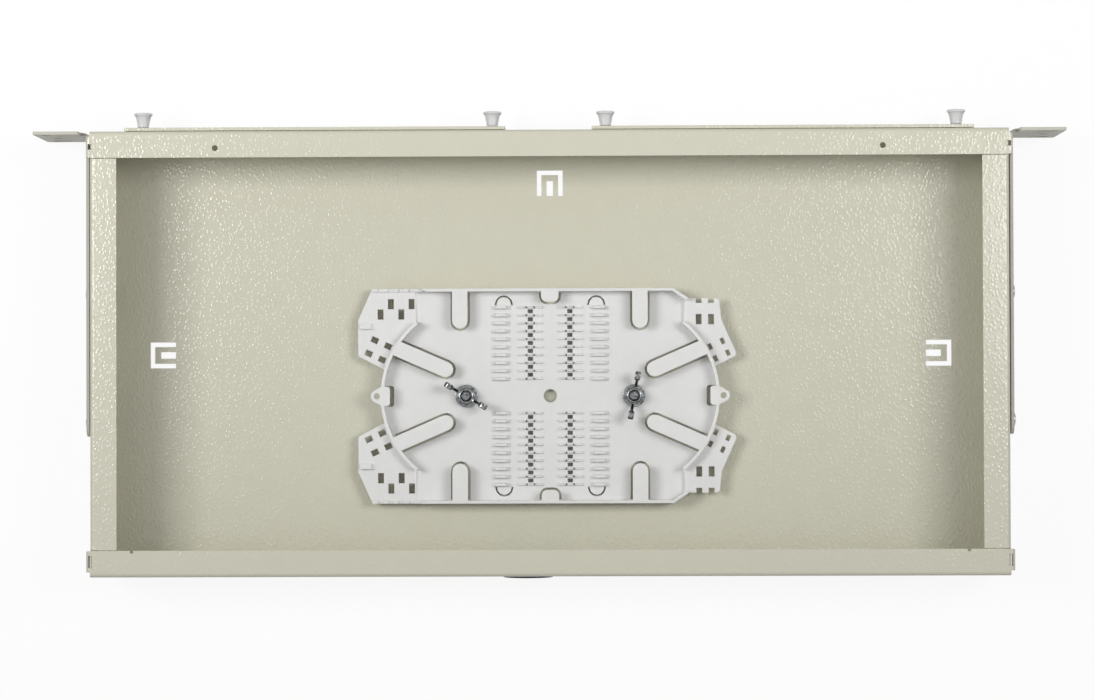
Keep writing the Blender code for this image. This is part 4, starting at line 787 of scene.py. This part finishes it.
def stud(node):
    radius, low, high = measured(node)
    rod = threaded_rod(radius, STUD_THREAD, STUD_PITCH, low, high, STUD_CHAMFER)
    middle = centre_of(node)
    return place(rod, UPRIGHT, (middle.x, middle.y, 0))


for word in ("left", "right"):
    node = f"tray_stud_{word}"
    rod = stud(node)
    print(node, "faces:", len(rod.faces))
    show_piece(f"threaded_stud_{word}", rod, bright, "box", [node])
    for node in (f"tray_spacer_{word}", f"tray_washer_{word}"):
        show_piece(f"turned_{node}", plain_ring(node), bright, "box", [node])

# %% [markdown]
# Wing nuts
#
# A wing nut has a tapered hub with a bore, and two thin webs that rise outwards to thick thumb
# pads. The hub is turned like the other fixings. A web and a pad are each a flat outline that is
# given its thickness by an extrude and soft edges by a bevel. The wings are made along X, copied to
# the other side by a half turn, joined to the hub, and turned to the angle that the nut was left
# at.

# %% Wing nuts
NUT_BORE = 0.0025
NUT_TOP_RADIUS = 0.0032
NUT_BASE_RADIUS = 0.0041
NUT_HEIGHT = 0.0046
NUT_SKIRT = 0.0012
NUT_EDGE = 0.00022
WEB_THICKNESS = 0.0015
WEB_OUTLINE = [
    (0.0029, 0.0010), (0.0044, 0.0010), (0.0075, 0.0030), (0.00945, 0.0057),
    (0.00945, 0.0087), (0.0066, 0.0066), (0.0048, 0.0043), (0.0029, 0.0040),
]
PAD_CENTRE = (0.00945, 0.0072)
PAD_SIZE = (0.0042, 0.0060)
PAD_THICKNESS = 0.0027
PAD_CORNER = 0.0018
PAD_EDGE = 0.0005
NUT_TURNS = {"left": 149.5, "right": 80.0}


def depth_of(edge):
    return abs(edge.verts[0].co.y - edge.verts[1].co.y)


def slab(outline, thickness, edge):
    """A flat outline in the XZ plane, given a thickness along Y and soft edges."""
    bm = bmesh.new()
    face = bm.faces.new([bm.verts.new((x, -thickness / 2, z)) for x, z in outline])
    made = bmesh.ops.extrude_face_region(bm, geom=[face])["geom"]
    moved = [item for item in made if isinstance(item, bmesh.types.BMVert)]
    bmesh.ops.translate(bm, verts=moved, vec=(0, thickness, 0))
    bmesh.ops.recalc_face_normals(bm, faces=bm.faces)
    bevel(bm, [item for item in bm.edges if depth_of(item) < thickness / 2], edge, 3)
    return bm


def pad():
    """A thumb pad: a rounded rectangle, from a square whose corners are bevelled."""
    width, height = PAD_SIZE
    bm = bmesh.new()
    bmesh.ops.create_cube(bm, size=1.0)
    bmesh.ops.scale(bm, verts=bm.verts, vec=(width, PAD_THICKNESS, height))
    bmesh.ops.translate(bm, verts=bm.verts, vec=(PAD_CENTRE[0], 0, PAD_CENTRE[1]))
    corners = [item for item in bm.edges if depth_of(item) > PAD_THICKNESS / 2]
    bevel(bm, corners, PAD_CORNER, 8)
    round_edges(bm, PAD_EDGE, 3)
    return bm


def wing_nut(node, turn):
    hub = [
        (NUT_BORE, 0),
        (NUT_BASE_RADIUS, 0),
        (NUT_BASE_RADIUS, NUT_SKIRT),
        (NUT_TOP_RADIUS + NUT_EDGE, NUT_HEIGHT - NUT_EDGE),
        (NUT_TOP_RADIUS, NUT_HEIGHT),
        (NUT_BORE, NUT_HEIGHT),
    ]
    bm = turned(hub, closed=True)
    round_edges(bm, NUT_EDGE)
    for half_turn in (0, math.pi):
        to_side = Matrix.Rotation(half_turn, 3, "Z")
        for wing in (slab(WEB_OUTLINE, WEB_THICKNESS, WEB_THICKNESS / 4), pad()):
            bmesh.ops.rotate(wing, verts=wing.verts, cent=(0, 0, 0), matrix=to_side)
            bm = combine(bm, wing, "UNION")
    bottom = measured(node)[1]
    middle = centre_of(node)
    as_left = Matrix.Rotation(math.radians(turn), 4, "Z")
    return place(bm, as_left, (middle.x, middle.y, bottom))


for word in ("left", "right"):
    node = f"wing_nut_{word}"
    nut = wing_nut(node, NUT_TURNS[word])
    print(node, "faces:", len(nut.faces))
    show_piece(f"formed_wing_nut_{word}", nut, bright, node, [node])

# %% [markdown]
# Plunger latches
#
# Each front plate is held by two nylon latches of two parts. The sleeve goes through plate and
# wall, with a thin flange in front and four split fingers behind. The plunger's pin spreads the
# fingers, and its flared head is what a finger and thumb pull. Its face has a shallow dish with a
# ring.

# %% Latches
LATCH_PLACES = ("left_outer", "left_inner", "right_inner", "right_outer")
SLEEVE_BORE = 0.0017
SLEEVE_RADIUS = 0.0027
SLEEVE_BARB_RADIUS = 0.0033
SLEEVE_SLOT = 0.0008
FLANGE_THICKNESS = 0.0010
FINGERS_START = 0.0036
FINGERS_SPLIT = 0.0039
HEAD_RADIUS = 0.0044
HEAD_NECK_RADIUS = 0.0026
HEAD_LENGTH = 0.0068
HEAD_RIM = 0.0010
HEAD_DISH = 0.0005
PIN_RADIUS = 0.0014
PIN_POINT = 0.0008
FLARE_STEPS = 12
FLARE_POWER = 0.45
RIM_FORM = [(1.0, 0.5), (0.93, 0.1), (0.80, 0.0)]
DISH_FORM = [(0.68, 0.3), (0.60, 1.0), (0.25, 1.0), (0.18, 0.5), (0.0, 0.4)]
NYLON_EDGE = 0.00016
SLEEVE_EDGE = NYLON_EDGE * 0.6
SLEEVE_TIP = 0.0004
SLEEVE_BARB = 0.0012
FLANGE_SLOPE = 0.0008
CUTTER_SPAN = 0.01
CUTTER_SPARE = 0.001


def latch_sleeve(node):
    low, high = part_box(node)
    top = high[1] - low[1]
    flange = (high[0] - low[0]) / 2
    neck = top - FLANGE_THICKNESS
    fingers = neck - FINGERS_START
    profile = [
        (SLEEVE_BORE, 0),
        (SLEEVE_RADIUS - SLEEVE_TIP, 0),
        (SLEEVE_BARB_RADIUS, fingers - SLEEVE_BARB),
        (SLEEVE_RADIUS, fingers),
        (SLEEVE_RADIUS, neck),
        (flange, neck),
        (flange - FLANGE_SLOPE, top),
        (SLEEVE_BORE, top),
    ]
    bm = turned(profile, closed=True)
    split_top = neck - FINGERS_SPLIT
    for size in ((SLEEVE_SLOT, CUTTER_SPAN), (CUTTER_SPAN, SLEEVE_SLOT)):
        slot = bmesh.new()
        middle = (split_top - CUTTER_SPARE) / 2
        add_block(slot, (0, 0, middle), (*size, split_top + CUTTER_SPARE))
        bm = combine(bm, slot, "DIFFERENCE")
    round_edges(bm, SLEEVE_EDGE)
    middle = centre_of(node)
    return place(bm, FORWARD, (middle.x, high[1], middle.z))


def latch_plunger(node):
    low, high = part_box(node)
    length = high[1] - low[1]
    head_base = length - HEAD_LENGTH
    flare = []
    for step in range(FLARE_STEPS + 1):
        share = step / FLARE_STEPS
        spread = (HEAD_RADIUS - HEAD_NECK_RADIUS) * (1 - share ** FLARE_POWER)
        depth = (HEAD_LENGTH - HEAD_RIM) * share
        flare.append((HEAD_NECK_RADIUS + spread, length - HEAD_RIM - depth))
    profile = [(0, 0), (PIN_RADIUS / 2, 0), (PIN_RADIUS, PIN_POINT), (PIN_RADIUS, head_base)]
    profile += list(reversed(flare))
    profile += [(HEAD_RADIUS * out, length - HEAD_RIM * down) for out, down in RIM_FORM]
    profile += [(HEAD_RADIUS * out, length - HEAD_DISH * down) for out, down in DISH_FORM]
    bm = turned(profile)
    round_edges(bm, NYLON_EDGE)
    middle = centre_of(node)
    return place(bm, FORWARD, (middle.x, high[1], middle.z))


for word in LATCH_PLACES:
    sleeve_node = f"latch_sleeve_{word}"
    plunger_node = f"latch_plunger_{word}"
    sleeve = latch_sleeve(sleeve_node)
    plunger = latch_plunger(plunger_node)
    print("latch", word, "faces:", len(sleeve.faces), len(plunger.faces))
    show_piece(f"nylon_sleeve_{word}", sleeve, natural, "box", [sleeve_node])
    show_piece(
        f"nylon_plunger_{word}", plunger, natural, plunger_node, [plunger_node]
    )

# %% [markdown]
# Screws and blind nuts of the ears
#
# The ears are screwed on from the sides. Each screw has a domed pan head with a cross, and a
# thread. It turns in a blind nut that was squeezed into the wall: a flange outside, a bulge and a
# barrel inside. The cross is cut with a tool of two crossed blocks whose lower ends are narrower.

# %% Ear screws
SCREW_HEAD_RADIUS = 0.0036
SCREW_HEAD_HEIGHT = 0.0019
SCREW_HEAD_EDGE = 0.00085
SCREW_RADIUS = 0.0019
SCREW_PITCH = 0.0007
SCREW_THREAD = 0.00033
SCREW_STEPS = 24
CROSS_SPAN = 0.0037
CROSS_WIDTH = 0.0008
CROSS_DEPTH = 0.0013
CROSS_TAPER = 0.45
CROSS_SPARE = 0.0004
CROSS_EDGE = 0.0001
DOME_STEPS = 6
DOME_DROP = 0.35
SHANK_OVERLAP = 0.0003


def cross_tool(top):
    tool = None
    middle = top - CROSS_DEPTH / 2
    for size in ((CROSS_SPAN, CROSS_WIDTH), (CROSS_WIDTH, CROSS_SPAN)):
        arm = bmesh.new()
        centre = (0, 0, middle + CROSS_SPARE / 2)
        corners = add_block(arm, centre, (*size, CROSS_DEPTH + CROSS_SPARE))
        lower = [vert for vert in corners if vert.co.z < middle]
        bmesh.ops.scale(arm, verts=lower, vec=(CROSS_TAPER, CROSS_TAPER, 1))
        tool = arm if tool is None else combine(tool, arm, "UNION")
    return tool


def ear_screw(node, side):
    low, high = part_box(node)
    length = high[0] - low[0]
    shank = length - SCREW_HEAD_HEIGHT
    dome = []
    for step in range(DOME_STEPS + 1):
        share = step / DOME_STEPS
        drop = SCREW_HEAD_HEIGHT * DOME_DROP * share ** 3
        dome.append((SCREW_HEAD_RADIUS * share, length - drop))
    rim = [(SCREW_HEAD_RADIUS, shank + SCREW_HEAD_EDGE), (SCREW_HEAD_RADIUS, shank)]
    head = combine(turned(dome + rim + [(0, shank)]), cross_tool(length), "DIFFERENCE")
    round_edges(head, CROSS_EDGE)
    end = shank + SHANK_OVERLAP
    rod = threaded_rod(SCREW_RADIUS, SCREW_THREAD, SCREW_PITCH, 0, end, 0.0, SCREW_STEPS)
    bm = combine(head, rod, "UNION")
    middle = centre_of(node)
    start = low[0] if side > 0 else high[0]
    return place(bm, SIDEWAYS[side], (start, middle.y, middle.z))


# %% Blind nuts
BLIND_BORE = 0.0022
BLIND_BARREL = 0.0034
BLIND_BULGE = 0.0043
BLIND_BULGE_START = 0.0018
BLIND_BULGE_LENGTH = 0.0030
BLIND_LIP = 0.0007
BLIND_EDGE = 0.00012
BLIND_STEPS = 40
BULGE_STEPS = 8
BULGE_POWER = 1.5


def blind_nut(node, side):
    low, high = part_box(node)
    length = high[0] - low[0]
    flange_radius = (high[1] - low[1]) / 2
    wall = length - BLIND_LIP
    first = wall - BLIND_BULGE_START
    last = first - BLIND_BULGE_LENGTH
    bulge = []
    for step in range(BULGE_STEPS + 1):
        share = step / BULGE_STEPS
        swell = (BLIND_BULGE - BLIND_BARREL) * math.sin(math.pi * share) ** BULGE_POWER
        bulge.append((BLIND_BARREL + swell, last + (first - last) * share))
    flange = [(flange_radius, wall), (flange_radius, length)]
    profile = [(BLIND_BORE, 0), (BLIND_BARREL, 0)] + bulge
    profile += [(BLIND_BARREL, wall)] + flange + [(BLIND_BORE, length)]
    bm = turned(profile, closed=True, steps=BLIND_STEPS)
    round_edges(bm, BLIND_EDGE)
    middle = centre_of(node)
    start = low[0] if side > 0 else high[0]
    return place(bm, SIDEWAYS[side], (start, middle.y, middle.z))


# %% Put the screws and nuts in place
for word, side in (("left", 1), ("right", -1)):
    for end in ("front", "rear"):
        screw_node = f"ear_screw_{word}_{end}"
        nut_node = f"blind_nut_{word}_{end}"
        screw = ear_screw(screw_node, side)
        nut = blind_nut(nut_node, side)
        print(screw_node, "faces:", len(screw.faces), len(nut.faces))
        show_piece(f"cross_{screw_node}", screw, bright, "box", [screw_node])
        show_piece(f"squeezed_{nut_node}", nut, bright, "box", [nut_node])

# %% [markdown]
# The cable entry's grommet
#
# A rubber ring lines the hole in the rear wall, so that its edge doesn't cut the cable. It is
# turned too, with soft round lips on both sides of the wall and a groove that grips the sheet.

# %% Grommet
GROMMET_BORE = 0.0065
GROMMET_LIP = 0.0120
GROMMET_BODY = 0.0100
GROMMET_ROUND = 0.0004
GROMMET_SLOPE = 0.0004
LIP_THICKNESS = 0.0010
GROMMET_STEPS = 72


def grommet(node):
    low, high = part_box(node)
    length = high[1] - low[1]
    profile = [
        (GROMMET_BORE, 0),
        (GROMMET_LIP - GROMMET_SLOPE, 0),
        (GROMMET_LIP, LIP_THICKNESS),
        (GROMMET_BODY, LIP_THICKNESS),
        (GROMMET_BODY, length - LIP_THICKNESS),
        (GROMMET_LIP, length - LIP_THICKNESS),
        (GROMMET_LIP - GROMMET_SLOPE, length),
        (GROMMET_BORE, length),
    ]
    bm = turned(profile, closed=True, steps=GROMMET_STEPS)
    round_edges(bm, GROMMET_ROUND, 3)
    middle = centre_of(node)
    return place(bm, BACKWARD, (middle.x, low[1], middle.z))


ring = grommet("rear_cable_grommet")
print("grommet faces:", len(ring.faces))
show_piece("rubber_grommet", ring, black, "box", ["rear_cable_grommet"])
